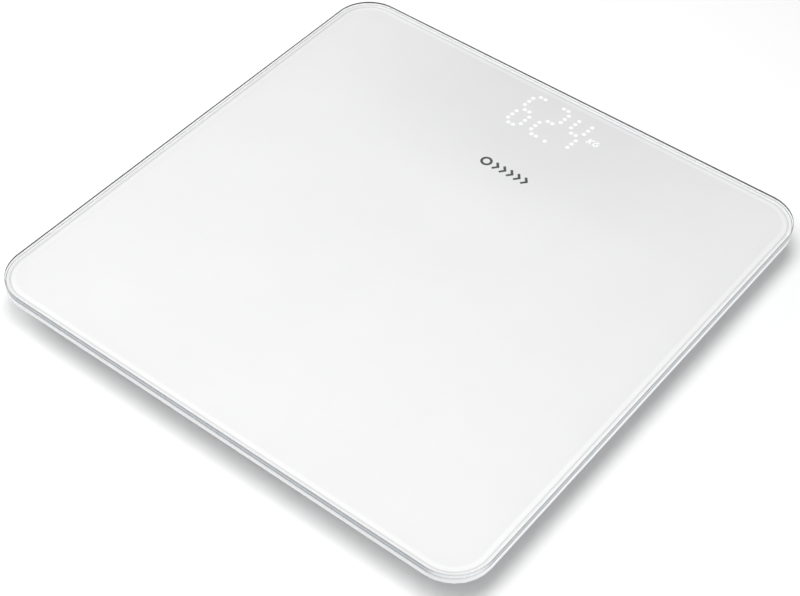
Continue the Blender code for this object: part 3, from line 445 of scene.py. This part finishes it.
def white_print():
    """White enamel, thin over the lamps, darkened round them by painted shade and lightened far off by
    painted light, with a painted shade line and a painted light band at its edge.
    """
    look = Look("white_print_look", ENAMEL, 0.35)
    away = look.add("VectorMath", operation="DISTANCE")
    look.link(look.place(LAMP_STRETCH), away.inputs[0])
    away.inputs[1].default_value = LAMP_MIDDLE
    # Painted shade: the enamel darkens towards the display's lamps. Painted light: it brightens a little
    # far from them.
    thin = look.ramp(away.outputs["Value"], *DISPLAY_SHADE_REACH, 1.0, 0.0)
    shaded_enamel = look.mix(thin, ENAMEL, (0.726, 0.726, 0.729))
    far_light = look.ramp(away.outputs["Value"], *FAR_LIGHT_REACH, 0.985, 1.02)
    inset = look.inset()
    # Painted shade line and painted light band just in from the outline.
    shade_line = look.ramp(inset, *PAINTED_SHADE_LINE_INSET, 0.81, 1.0)
    light_band = look.ramp(inset, *PAINTED_LIGHT_BAND_INSET, 1.08, 1.0)
    painted_border = look.math("MULTIPLY", shade_line, light_band)
    cloudy = look.ramp(look.noise(25.0, detail=4.0), *NOISE_SPAN, 0.985, 1.0)
    tone = look.math("MULTIPLY", look.math("MULTIPLY", painted_border, cloudy), far_light)
    toned = look.add("Mix", data_type="RGBA", blend_type="MULTIPLY")
    toned.inputs["Factor"].default_value = 1.0
    look.link(shaded_enamel, toned.inputs[MIX_FIRST])
    look.link(tone, toned.inputs[MIX_SECOND])
    look.paint(toned.outputs[MIX_RESULT])
    look.worn(look.noise(60.0), spread=0.05)
    look.relief(look.noise(2500.0), depth=0.004 * MM, strength=0.3)
    return look.material


def bead_silicone():
    """White sealant with a dark band along its outer edge, which is painted shade."""
    look = Look("bond_bead_look", (0.86, 0.86, 0.86), 0.4)
    # Painted shade: a dark band along the bead's outer edge.
    bead_shade = look.ramp(look.inset(), *BEAD_SHADE_INSET)
    drift = look.ramp(look.noise(300.0, detail=4.0), *NOISE_SPAN)
    look.paint(look.mix(bead_shade, (0.25, 0.26, 0.27), look.mix(drift, (0.83, 0.83, 0.83), (0.87, 0.87, 0.87))))
    look.worn(look.noise(500.0), spread=0.08)
    look.relief(look.noise(1500.0), depth=0.02 * MM, strength=0.3)
    return look.material


def moulded(name, colour, roughness):
    """Injection-moulded plastic with a spark-eroded grain."""
    look = Look(name, colour, roughness)
    look.mottle(look.noise(18.0, detail=5.0), change=0.03)
    look.worn(look.noise(140.0, detail=4.0), spread=0.06)
    look.relief(look.noise(1800.0, detail=2.0), depth=0.03 * MM, strength=0.35)
    return look.material


def tray_plastic():
    """White rim, polished; below it the hull and belly are grained and a little greyer with painted shade.
    """
    look = Look("tray_look", RIM_WHITE, 0.3)
    belly = look.ramp(look.axis("Z"), *TRAY_GRAIN_TOP, 1.0, 0.0)
    drift = look.ramp(look.noise(18.0, detail=5.0), *NOISE_SPAN)
    rim = look.mix(drift, EDGE_WHITE, RIM_WHITE)
    # Painted shade: the hull and belly below the rim are greyer.
    under = look.mix(drift, (0.63, 0.64, 0.65), (0.66, 0.67, 0.68))
    look.paint(look.mix(belly, rim, under))
    grain = look.noise(1400.0, detail=2.0)
    look.relief(look.math("MULTIPLY", grain, belly), depth=0.04 * MM, strength=0.5)
    look.link(look.ramp(belly, 0.0, 1.0, 0.28, 0.5), look.shader.inputs["Roughness"])
    return look.material


def rubber():
    look = Look("pad_rubber_look", (0.30, 0.31, 0.32), 0.75)
    look.mottle(look.noise(220.0, detail=6.0), change=0.25)
    look.worn(look.noise(90.0), spread=0.1)
    look.relief(look.noise(2600.0, detail=4.0), depth=0.05 * MM, strength=0.6)
    return look.material


def steel(name, colour, roughness, along=EVEN):
    look = Look(name, colour, roughness, Metallic=1.0)
    brushed = look.noise(900.0, detail=3.0, stretch=along)
    look.mottle(look.noise(60.0, detail=4.0), change=0.12)
    look.worn(brushed, spread=0.08)
    look.relief(brushed, depth=0.01 * MM, strength=0.25)
    return look.material


def glowing(name, strength):
    """Lamp light through a thin place in the print, as strong as the mesh's glow says."""
    look = Look(name, (0.716, 0.716, 0.719), 0.35)
    share = look.add("Attribute", attribute_name="glow")
    light = look.math("MULTIPLY", look.ramp(share.outputs["Fac"], 0.0, 1.0),
                      look.ramp(look.noise(1200.0), 0.2, 0.8, 0.95, 1.05))
    look.link(look.math("MULTIPLY", light, strength), look.shader.inputs["Emission Strength"])
    look.shader.inputs["Emission Color"].default_value = (0.97, 0.985, 1.0, 1.0)
    return look.material


def dark_ink():
    look = Look("dark_ink_look", (0.062, 0.062, 0.066), 0.45)
    look.mottle(look.noise(700.0, detail=4.0), change=0.2)
    look.worn(look.noise(300.0), spread=0.05)
    return look.material


def circuit_board():
    """Green lacquer with copper tracks under it."""
    look = Look("circuit_board_look", (0.03, 0.17, 0.08), 0.35, Coat_Weight=0.4)
    tracks = look.add("TexWave", wave_type="BANDS", bands_direction="DIAGONAL")
    tracks.inputs["Scale"].default_value = 120.0
    tracks.inputs["Distortion"].default_value = 6.0
    tracks.inputs["Detail"].default_value = 0.0
    look.link(look.place(), tracks.inputs["Vector"])
    copper = look.ramp(tracks.outputs["Fac"], 0.52, 0.6)
    look.paint(look.mix(copper, (0.02, 0.13, 0.06), (0.05, 0.26, 0.12)))
    look.relief(copper, depth=0.03 * MM, strength=0.6)
    return look.material


def battery_wrap(heading):
    """Printed sleeve in two plain colours; the shorter one wraps the end with the nub."""
    name = f"battery_wrap_look_{'rear' if heading > 0 else 'front'}"
    look = Look(name, (0.06, 0.06, 0.07), 0.3, Coat_Weight=0.5)
    split = look.ramp(look.math("MULTIPLY", look.axis("Y"), heading), *SLEEVE_SPLIT)
    scuff = look.noise(400.0, detail=5.0, stretch=(1.0, 0.2, 1.0))
    look.paint(look.mix(split, (0.05, 0.055, 0.06), (0.10, 0.28, 0.52)))
    look.worn(scuff, spread=0.08)
    look.relief(scuff, depth=0.01 * MM, strength=0.3)
    return look.material


def foam():
    look = Look("foam_look", (0.80, 0.80, 0.78), 0.9)
    cells = look.add("TexVoronoi")
    cells.inputs["Scale"].default_value = 3000.0
    look.link(look.place(), cells.inputs["Vector"])
    look.mottle(cells.outputs["Distance"], change=0.12)
    look.relief(cells.outputs["Distance"], depth=0.05 * MM, strength=0.6)
    return look.material


def flat_cable():
    """Grey ribbon with a fine line of painted shade in the grooves between its wires."""
    look = Look("flat_cable_look", (0.50, 0.50, 0.52), 0.5)
    half_pitch = 0.635 * MM
    wires = look.math("PINGPONG", look.axis("X"), half_pitch)
    # Painted shade in the grooves between the wires.
    between = look.ramp(wires, 0.0, 0.15 * MM, 1.0, 0.0)
    look.paint(look.mix(between, (0.52, 0.52, 0.54), (0.25, 0.25, 0.27)))
    look.relief(wires, depth=0.2 * MM, strength=0.5)
    look.worn(look.noise(500.0), spread=0.06)
    return look.material


def soft_plastic(name, colour, roughness):
    look = Look(name, colour, roughness)
    look.mottle(look.noise(300.0, detail=4.0), change=0.1)
    look.worn(look.noise(500.0), spread=0.08)
    look.relief(look.noise(1500.0), depth=0.02 * MM, strength=0.3)
    return look.material


# ------------------------------------------------------------------- meshes


def platform_outline(inset):
    """Points of the platform's outline drawn in by a distance, counter-clockwise."""
    half = CAD_BOX[1].x - inset
    radius = CORNER_RADIUS - inset
    outline = []
    for quarter, (side_x, side_y) in enumerate(((1, 1), (-1, 1), (-1, -1), (1, -1))):
        for step in range(CORNER_STEPS + 1):
            angle = (quarter + step / CORNER_STEPS) * math.pi / 2
            outline.append((
                side_x * (half - radius) + radius * math.cos(angle),
                side_y * (half - radius) + radius * math.sin(angle),
            ))
    return outline


def loft(bm, levels, capped=True):
    """Joins outlines of equal point count, each (outline, z); returns the side faces by level.

    The first and last outlines are capped, or else joined to each other.
    """
    rings = [[bm.verts.new((x, y, z)) for x, y in outline] for outline, z in levels]
    spans = list(zip(rings, rings[1:]))
    if not capped:
        spans.append((rings[-1], rings[0]))
    sides = []
    for lower, upper in spans:
        quads = zip(lower, lower[1:] + lower[:1], upper[1:] + upper[:1], upper)
        sides.append([bm.faces.new(corners) for corners in quads])
    if capped:
        bm.faces.new(rings[0][::-1])
        bm.faces.new(rings[-1])
    return sides


def circle(bm, centre, radius, z, segments):
    """Points round a level circle; at no radius, one point in every place."""
    if radius == 0:
        return [bm.verts.new((*centre, z))] * segments
    points = []
    for step in range(segments):
        angle = 2 * math.pi * step / segments
        points.append(bm.verts.new((centre[0] + radius * math.cos(angle),
                                    centre[1] + radius * math.sin(angle), z)))
    return points


def turned(bm, profile, segments=ROUND_SEGMENTS, centre=(0.0, 0.0)):
    """Turns (radius, z) points about a vertical line, which the profile meets or else closes round.

    Returns the faces band by band.
    """
    rings = [circle(bm, centre, radius, z, segments) for radius, z in profile]
    pairs = list(zip(rings, rings[1:]))
    if profile[0][0] > 0:
        pairs.append((rings[-1], rings[0]))
    bands = []
    for lower, upper in pairs:
        band = []
        for step in range(segments):
            after = (step + 1) % segments
            corners = dict.fromkeys((lower[step], lower[after], upper[after], upper[step]))
            band.append(bm.faces.new(list(corners)))
        bands.append(band)
    return bands


def rounded_corner(before, corner, after, radius, steps):
    """Points that round one corner of a profile off with an arc."""
    before, corner, after = Vector(before), Vector(corner), Vector(after)
    into = (before - corner).normalized()
    out = (after - corner).normalized()
    half = into.angle(out) / 2
    room = ROUNDING_SHARE * min((before - corner).length, (after - corner).length)
    reach = min(radius / math.tan(half), room)
    middle = corner + (into + out).normalized() * (reach / math.cos(half))
    start = corner + into * reach - middle
    turn = start.angle_signed(corner + out * reach - middle)
    points = []
    for step in range(steps + 1):
        angle = -turn * step / steps
        points.append((middle.x + start.x * math.cos(angle) - start.y * math.sin(angle),
                       middle.y + start.x * math.sin(angle) + start.y * math.cos(angle)))
    return points


def softened(profile, radius, closed=False, steps=ROUNDING_STEPS):
    """A profile with its corners rounded, apart from the two ends of an open one."""
    if closed:
        ring = [profile[-1], *profile, profile[0]]
        spans = zip(ring, ring[1:], ring[2:])
        return [point for span in spans for point in rounded_corner(*span, radius, steps)]
    points = [profile[0]]
    for span in zip(profile, profile[1:], profile[2:]):
        points += rounded_corner(*span, radius, steps)
    return points + [profile[-1]]


def piece(name, bm, looks, body="root", stands_for=(), smooth=SMOOTH_ANGLE):
    """Puts a finished mesh into the scene on its body."""
    bmesh.ops.recalc_face_normals(bm, faces=bm.faces[:])
    mesh = bpy.data.meshes.new(name)
    bm.to_mesh(mesh)
    bm.free()
    mesh.shade_smooth()
    mesh.set_sharp_from_angle(angle=smooth)
    made = bpy.data.objects.new(name, mesh)
    bpy.context.scene.collection.objects.link(made)
    made.modifiers.new("face_weights", "WEIGHTED_NORMAL").keep_sharp = True
    for look in looks:
        mesh.materials.append(look)
    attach(made, body)
    if stands_for:
        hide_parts(*stands_for)
    return made


def body_of(node):
    for body, members in frame["record"]["behaviour"]["bodies"].items():
        if node in members:
            return body
    return "root"


def refined(node, look, edge=BEVEL, smooth=SMOOTH_ANGLE):
    """A smooth copy of a CAD node with softened edges, which stands for it."""
    bm = bmesh.new()
    bm.from_mesh(frame["nodes"][node].data)
    bmesh.ops.remove_doubles(bm, verts=bm.verts[:], dist=WELD_DISTANCE)
    bmesh.ops.dissolve_limit(bm, angle_limit=FLAT_ANGLE, verts=bm.verts[:], edges=bm.edges[:])
    if edge:
        sharp = [each for each in bm.edges if len(each.link_faces) == 2
                 and each.calc_face_angle() > smooth]
        bmesh.ops.bevel(bm, geom=sharp, offset=edge, segments=BEVEL_SEGMENTS, profile=0.5,
                        affect="EDGES", clamp_overlap=True)
    return piece(node + "_shape", bm, [look], body_of(node), [node], smooth)


def dress(nodes, look):
    """Gives CAD nodes that stay as they are a better look."""
    for node in nodes:
        frame["nodes"][node].data.materials[0] = look


def every(stem, count):
    return [f"{stem}_{number}" for number in range(1, count + 1)]


# ----------------------------------------------------------------- platform


def glass_slab():
    """Clear slab: flat faces, a ground edge with its lower arris, and a polished upper arris."""
    arris = []
    for step in range(ARRIS_STEPS + 1):
        angle = math.pi / 2 * step / ARRIS_STEPS
        arris.append((ARRIS * (1 - math.sin(angle)), ARRIS * (1 - math.cos(angle))))
    levels = [(platform_outline(inset), GLASS_BOTTOM + rise) for inset, rise in arris]
    levels += [(platform_outline(inset), GLASS_TOP - drop) for drop, inset in arris]
    looks = [clear_glass(), ground_edge(), polished_arris()]
    ground, polished = 1, 2
    bm = bmesh.new()
    for number, faces in enumerate(loft(bm, levels)):
        for face in faces:
            face.material_index = ground if number <= ARRIS_STEPS else polished
    return piece("glass_slab", bm, looks, stands_for=["glass_platform"])


def print_sheet():
    """White sheet that reaches just into the glass; returns the height of its top."""
    low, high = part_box("print_layer")
    inset = CAD_BOX[1].x - high.x
    top = GLASS_BOTTOM + PRINT_SINK
    bm = bmesh.new()
    loft(bm, [(platform_outline(inset), low.z), (platform_outline(inset), top)])
    piece("enamel_print", bm, [white_print()], stands_for=["print_layer"])
    return top


def bond_bead(top):
    """White adhesive bead between the glass edge and the tray's lip."""
    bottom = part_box("print_layer")[1].z + BEAD_GAP
    outer, inner = BEAD_INSET
    bm = bmesh.new()
    section = softened([(outer, bottom), (outer, top), (inner, top), (inner, bottom)],
                       BEAD_EDGE, closed=True, steps=2)
    loft(bm, [(platform_outline(inset), z) for inset, z in section], capped=False)
    piece("bond_bead", bm, [bead_silicone()])


def dot(bm, glow, centre, z):
    """A flat round dot whose glow falls off at its rim."""
    rings = []
    for share, light in DOT_RINGS:
        ring = circle(bm, centre, DOT_RADIUS * share, z, DOT_SEGMENTS)
        for vertex in ring:
            vertex[glow] = light
        rings.append(ring)
    for inner, outer in zip(rings, rings[1:]):
        for step in range(DOT_SEGMENTS):
            after = (step + 1) % DOT_SEGMENTS
            bm.faces.new(list(dict.fromkeys((inner[step], outer[step], outer[after], inner[after]))))


def segment_dots(segment):
    """Dot places of one segment, from the middle of its digit."""
    if segment in "adg":
        y = {"a": ROW_Y, "d": -ROW_Y, "g": 0.0}[segment]
        return [(-ROW_X, y), (ROW_X, y)]
    x = COLUMN_X if segment in "bc" else -COLUMN_X
    side = 1 if segment in "bf" else -1
    return [(x, side * y) for y in COLUMN_Y]


def lit_reading(z):
    """Dots of the three digits and of the decimal point."""
    places = []
    for middle_x, figure in zip(DIGIT_X, READING):
        for segment in SEGMENTS[figure]:
            places += [(middle_x + x, y) for x, y in segment_dots(segment)]
    places.append((DIGIT_X[1] + POINT_OFFSET[0], POINT_OFFSET[1]))
    bm = bmesh.new()
    glow = bm.verts.layers.float.new("glow")
    for x, y in places:
        dot(bm, glow, (x + DIGIT_LEAN * y, DIGIT_MIDDLE_Y + y), z)
    piece("lit_reading", bm, [glowing("lamp_dot_look", DOT_LIGHT)])


def ribbon(bm, route, width, z, closed=False):
    """A flat stroke of even width with mitred bends."""
    count = len(route)
    points = []
    for index, here in enumerate(route):
        here = Vector(here)
        before = Vector(route[(index - 1) % count]) if closed or index else None
        after = Vector(route[(index + 1) % count]) if closed or index < count - 1 else None
        into = (here - before).normalized() if before is not None else (after - here).normalized()
        out = (after - here).normalized() if after is not None else into
        along = (into + out).normalized()
        across = Vector((-along.y, along.x)) * (width / 2 / max(MITRE_LIMIT, along.dot(out)))
        points.append([bm.verts.new((*(here + side * across), z)) for side in (1, -1)])
    spans = list(zip(points, points[1:]))
    if closed:
        spans.append((points[-1], points[0]))
    for (left, right), (next_left, next_right) in spans:
        bm.faces.new((left, right, next_right, next_left))


def arc(centre, radius_x, radius_y, start, end, steps):
    """Points along an elliptic arc between two angles in degrees."""
    points = []
    for step in range(steps + 1):
        angle = math.radians(start + (end - start) * step / steps)
        points.append((centre[0] + radius_x * math.cos(angle), centre[1] + radius_y * math.sin(angle)))
    return points


def placed(points, centre, lean=0.0):
    """Points moved to a centre, leaning over to the right as they rise."""
    return [(centre[0] + x + lean * y, centre[1] + y) for x, y in points]


def unit_letters(z):
    """K and G as lit strokes beside the last digit."""
    half = UNIT_HEIGHT / 2
    width = LETTER_HALF_WIDTH
    letter_k, letter_g = LETTER_X
    bar_bottom, bar_top = G_BAR_Y
    strokes = [
        [(letter_k - width, -half), (letter_k - width, half)],
        [(letter_k + width, half), (letter_k - K_WAIST * width, 0.0), (letter_k + width, -half)],
        arc((letter_g, 0.0), width, half - UNIT_STROKE / 2, *G_ARC, G_ARC_STEPS)
        + [(letter_g + width, bar_bottom), (letter_g + width, bar_top), (letter_g + G_BAR_X, bar_top)],
    ]
    bm = bmesh.new()
    glow = bm.verts.layers.float.new("glow")
    for stroke in strokes:
        ribbon(bm, placed(stroke, UNIT_CENTRE, UNIT_LEAN), UNIT_STROKE, z)
    for vertex in bm.verts:
        vertex[glow] = 1.0
    piece("lit_unit", bm, [glowing("lamp_unit_look", UNIT_LIGHT)])


def printed_mark(z):
    """A ring followed by a row of chevrons."""
    bm = bmesh.new()
    radius = MARK_RING_RADIUS
    left = MARK_CENTRE[0] - MARK_HALF_WIDTH + radius
    last_angle = 360 - 360 / MARK_RING_SIDES
    ring = arc((left, MARK_CENTRE[1]), radius, radius, 0, last_angle, MARK_RING_SIDES - 1)
    ribbon(bm, ring, MARK_STROKE, z, closed=True)
    chevron = [(0.0, -radius), (CHEVRON_REACH, 0.0), (0.0, radius)]
    for number in range(CHEVRON_COUNT):
        place = (left + radius * 2 + number * CHEVRON_PITCH, MARK_CENTRE[1])
        ribbon(bm, placed(chevron, place), MARK_STROKE, z)
    piece("printed_mark", bm, [dark_ink()])


# --------------------------------------------------------------- underside


def foot_centre(corner):
    low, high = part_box("foot_ring_" + corner)
    return (low.x + high.x) / 2, (low.y + high.y) / 2


def foot_pad(corner, look):
    """Rubber disc with round grip grooves in its face."""
    low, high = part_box("foot_pad_" + corner)
    radius = (high.x - low.x) / 2
    pitch = radius * PAD_GROOVED_SHARE / PAD_GROOVES
    floor_from, floor_to, groove_to = GROOVE_SHARES
    face = [(0.0, low.z)]
    for number in range(PAD_GROOVES):
        start = radius * PAD_MIDDLE_SHARE + number * pitch
        face += [
            (start, low.z),
            (start + pitch * floor_from, low.z + PAD_GROOVE_DEPTH),
            (start + pitch * floor_to, low.z + PAD_GROOVE_DEPTH),
            (start + pitch * groove_to, low.z),
        ]
    profile = softened(face + [(radius, low.z), (radius, high.z), (0.0, high.z)], PAD_EDGE, steps=2)
    bm = bmesh.new()
    turned(bm, profile, centre=foot_centre(corner))
    piece("pad_" + corner, bm, [look], "foot_" + corner, ["foot_pad_" + corner])


def foot_cup(corner, look):
    """Moving cup of a foot: its wall, the flange that keeps it in its well, and the post above."""
    node = "foot_plunger_" + corner
    low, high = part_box(node)
    flange_radius = (high.x - low.x) / 2
    recess_radius, recess_top = CUP_RECESS
    profile = softened([
        (0.0, recess_top),
        (recess_radius, recess_top),
        (recess_radius, low.z),
        (CUP_RADIUS - CUP_CHAMFER, low.z),
        (CUP_RADIUS, low.z + CUP_CHAMFER),
        (CUP_RADIUS, CUP_FLANGE_Z[0]),
        (flange_radius, CUP_FLANGE_Z[0]),
        (flange_radius, CUP_FLANGE_Z[1]),
        (CUP_POST_RADIUS, CUP_FLANGE_Z[1]),
        (CUP_POST_RADIUS, high.z),
        (0.0, high.z),
    ], FOOT_EDGE)
    bm = bmesh.new()
    turned(bm, profile, centre=foot_centre(corner))
    piece("cup_" + corner, bm, [look], "foot_" + corner, [node])


def foot_ring(corner, look):
    """Ring that keeps a foot in its well."""
    node = "foot_ring_" + corner
    low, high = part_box(node)
    outer = (high.x - low.x) / 2
    inner = FOOT_RING_INNER
    profile = softened([(inner, low.z), (outer, low.z), (outer, high.z), (inner, high.z)],
                       FOOT_EDGE, closed=True)
    bm = bmesh.new()
    turned(bm, profile, centre=foot_centre(corner))
    piece("ring_" + corner, bm, [look], stands_for=[node])


def grip_ridges(look):
    """Rounded ribs across the latch tongue of the battery door."""
    door_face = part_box("battery_door")[0].z
    root = door_face + RIDGE_SINK
    crest = door_face - RIDGE_HEIGHT
    half = RIDGE_WIDTH / 2
    section = softened([(-half, root), (-half, crest), (half, crest), (half, root)], RIDGE_EDGE)
    bm = bmesh.new()
    for number in range(RIDGE_COUNT):
        middle = RIDGE_START_Y + number * RIDGE_PITCH
        ends = []
        for side in (-1, 1):
            ends.append([bm.verts.new((side * RIDGE_HALF_LENGTH, middle + y, z)) for y, z in section])
            bm.faces.new(ends[-1])
        for step in range(len(section)):
            after = (step + 1) % len(section)
            bm.faces.new((ends[0][step], ends[0][after], ends[1][after], ends[1][step]))
    piece("grip_ridges", bm, [look], "battery_door")


def underside(plastic, grey, rubber_look):
    """Tray, feet, battery door and button; returns the tray."""
    tray = refined("base_tray", tray_plastic(), edge=0, smooth=TRAY_SMOOTH_ANGLE)
    for corner in CORNERS:
        foot_pad(corner, rubber_look)
        foot_cup(corner, plastic)
        foot_ring(corner, grey)
    refined("battery_door", plastic)
    grip_ridges(plastic)
    refined("unit_button", grey)
    return tray


# ------------------------------------------------------------------- inside


def battery(number, steel_look):
    """Dry cell along Y: steel ends, a printed sleeve drawn in over both shoulders, and a nub."""
    node = f"battery_{number}"
    low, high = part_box(node)
    middle = (low + high) / 2
    radius = (high.x - low.x) / 2
    half = (high.y - low.y) / 2
    heading = 1 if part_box(f"contact_spring_{number}")[0].y < 0 else -1
    profile = [(radius * share, rise - half) for share, rise in CELL_FLAT_END]
    profile += [(radius * share, half - drop) for share, drop in CELL_SHOULDER]
    profile += [(NUB_RADIUS * share, half - drop) for share, drop in CELL_NUB]
    sleeve, bare = 0, 1
    bm = bmesh.new()
    for (start_radius, _), band in zip(profile, turned(bm, profile, segments=CELL_SEGMENTS)):
        for face in band:
            face.material_index = sleeve if start_radius >= radius * SLEEVE_SHARE else bare
    turn = Matrix.Rotation(-heading * math.pi / 2, 4, "X")
    bmesh.ops.transform(bm, matrix=Matrix.Translation(middle) @ turn, verts=bm.verts)
    piece(node + "_cell", bm, [battery_wrap(heading), steel_look], stands_for=[node])


def inside(plastic):
    """Batteries and their contacts, load cells, cables, boards and the display."""
    nickel = steel("nickel_look", (0.72, 0.70, 0.66), 0.25)
    for number in (1, 2, 3):
        battery(number, nickel)
        refined(f"contact_spring_{number}", nickel, edge=0, smooth=ROUND_SMOOTH_ANGLE)
    for name in ("contact_negative", "contact_positive", "contact_bridge_front", "contact_bridge_rear"):
        refined(name, nickel, edge=CONTACT_BEVEL, smooth=ROUND_SMOOTH_ANGLE)
    stamped = steel("stamped_steel_look", (0.60, 0.60, 0.61), 0.32, along=(1.0, 12.0, 1.0))
    silicone = soft_plastic("silicone_look", (0.88, 0.88, 0.86), 0.35)
    cable = soft_plastic("cable_look", (0.50, 0.50, 0.52), 0.5)
    for corner in CORNERS:
        refined("load_cell_" + corner, stamped, edge=LOAD_CELL_BEVEL)
        refined("gauge_sealant_" + corner, silicone, edge=0, smooth=ROUND_SMOOTH_ANGLE)
        refined("sensor_cable_" + corner, cable, edge=0, smooth=ROUND_SMOOTH_ANGLE)
    black_lead = soft_plastic("black_lead_look", (0.03, 0.03, 0.03), 0.45)
    refined("lead_negative", black_lead, edge=0, smooth=ROUND_SMOOTH_ANGLE)
    red_lead = soft_plastic("red_lead_look", (0.55, 0.03, 0.03), 0.45)
    refined("lead_positive", red_lead, edge=0, smooth=ROUND_SMOOTH_ANGLE)
    board = circuit_board()
    black = soft_plastic("black_plastic_look", (0.025, 0.025, 0.028), 0.4)
    dress(["bonding_tape"], foam())
    dress(["main_board", "lamp_board"], board)
    dress(["controller_chip", "switch_plunger"], black)
    dress(["tact_switch", *every("board_screw", 4), *every("display_screw", 2)], nickel)
    dress(["display_frame"], plastic)
    dress(["display_diffuser"], soft_plastic("diffuser_look", (0.90, 0.90, 0.92), 0.55))
    dress(["display_ribbon"], flat_cable())


# -------------------------------------------------------------------- stage


def place_camera():
    """Camera that looks at its target from the given angles, turned a little about its own line."""
    back = Vector((
        math.sin(CAMERA_AZIMUTH) * math.cos(CAMERA_ELEVATION),
        -math.cos(CAMERA_AZIMUTH) * math.cos(CAMERA_ELEVATION),
        math.sin(CAMERA_ELEVATION),
    ))
    level = Vector((0, 0, 1)).cross(back).normalized()
    upright = back.cross(level)
    right = level * math.cos(CAMERA_ROLL) + upright * math.sin(CAMERA_ROLL)
    up = back.cross(right)
    camera = bpy.data.objects.new("camera", bpy.data.cameras.new("camera"))
    camera.data.lens = CAMERA_LENS
    camera.data.clip_start = CAMERA_CLIP
    place = CAMERA_TARGET + back * CAMERA_DISTANCE
    turn = Matrix((right, up, back)).transposed().to_4x4()
    camera.matrix_world = Matrix.Translation(place) @ turn
    bpy.context.scene.collection.objects.link(camera)
    bpy.context.scene.camera = camera


def softbox(name, place, power, only=None):
    """A square softbox aimed at the origin, unseen in reflections; it may light only some pieces."""
    lamp = bpy.data.lights.new(name, "AREA")
    lamp.shape = "SQUARE"
    lamp.size = SOFTBOX_SIZE
    lamp.energy = power
    made = bpy.data.objects.new(name, lamp)
    made.location = place
    made.visible_glossy = False
    made.rotation_mode = "QUATERNION"
    made.rotation_quaternion = (-Vector(place)).to_track_quat("-Z", "Y")
    bpy.context.scene.collection.objects.link(made)
    if only:
        lit = bpy.data.collections.new(name + "_lights")
        for each in only:
            lit.objects.link(each)
        made.light_linking.receiver_collection = lit


def studio_floor():
    """Plain white floor just below the feet."""
    bm = bmesh.new()
    bmesh.ops.create_grid(bm, x_segments=FLOOR_SQUARES, y_segments=FLOOR_SQUARES, size=FLOOR_HALF)
    mesh = bpy.data.meshes.new("floor")
    bm.to_mesh(mesh)
    bm.free()
    floor = bpy.data.objects.new("floor", mesh)
    floor.location = (0, 0, FLOOR_Z)
    look = Look("floor_look", (0.965, 0.965, 0.965), 0.9)
    look.shader.inputs["Specular IOR Level"].default_value = 0.1
    look.mottle(look.noise(3.0), change=0.004)
    mesh.materials.append(look.material)
    bpy.context.scene.collection.objects.link(floor)


def dome():
    """Even white surround."""
    world = bpy.data.worlds.new("surround")
    bpy.context.scene.world = world
    world.use_nodes = True
    sky = world.node_tree.nodes["Background"]
    sky.inputs["Color"].default_value = (1.0, 1.0, 1.0, 1.0)
    sky.inputs["Strength"].default_value = SURROUND


place_camera()
studio_floor()
dome()
bpy.context.scene.view_settings.view_transform = "Standard"

slab = glass_slab()
print_top = print_sheet()
bond_bead(print_top)
mark_z = print_top + MARK_LIFT
lit_reading(mark_z)
unit_letters(mark_z)
printed_mark(mark_z)
white_plastic = moulded("white_plastic_look", (0.66, 0.67, 0.68), 0.42)
grey_plastic = moulded("grey_plastic_look", (0.50, 0.51, 0.52), 0.45)
tray = underside(white_plastic, grey_plastic, rubber())
inside(white_plastic)

for lamp_name, (lamp_place, lamp_power) in SOFTBOXES.items():
    softbox(lamp_name, lamp_place, lamp_power)
for lamp_name, (lamp_place, lamp_power) in EDGE_SOFTBOXES.items():
    softbox(lamp_name, lamp_place, lamp_power, only=[slab, tray])
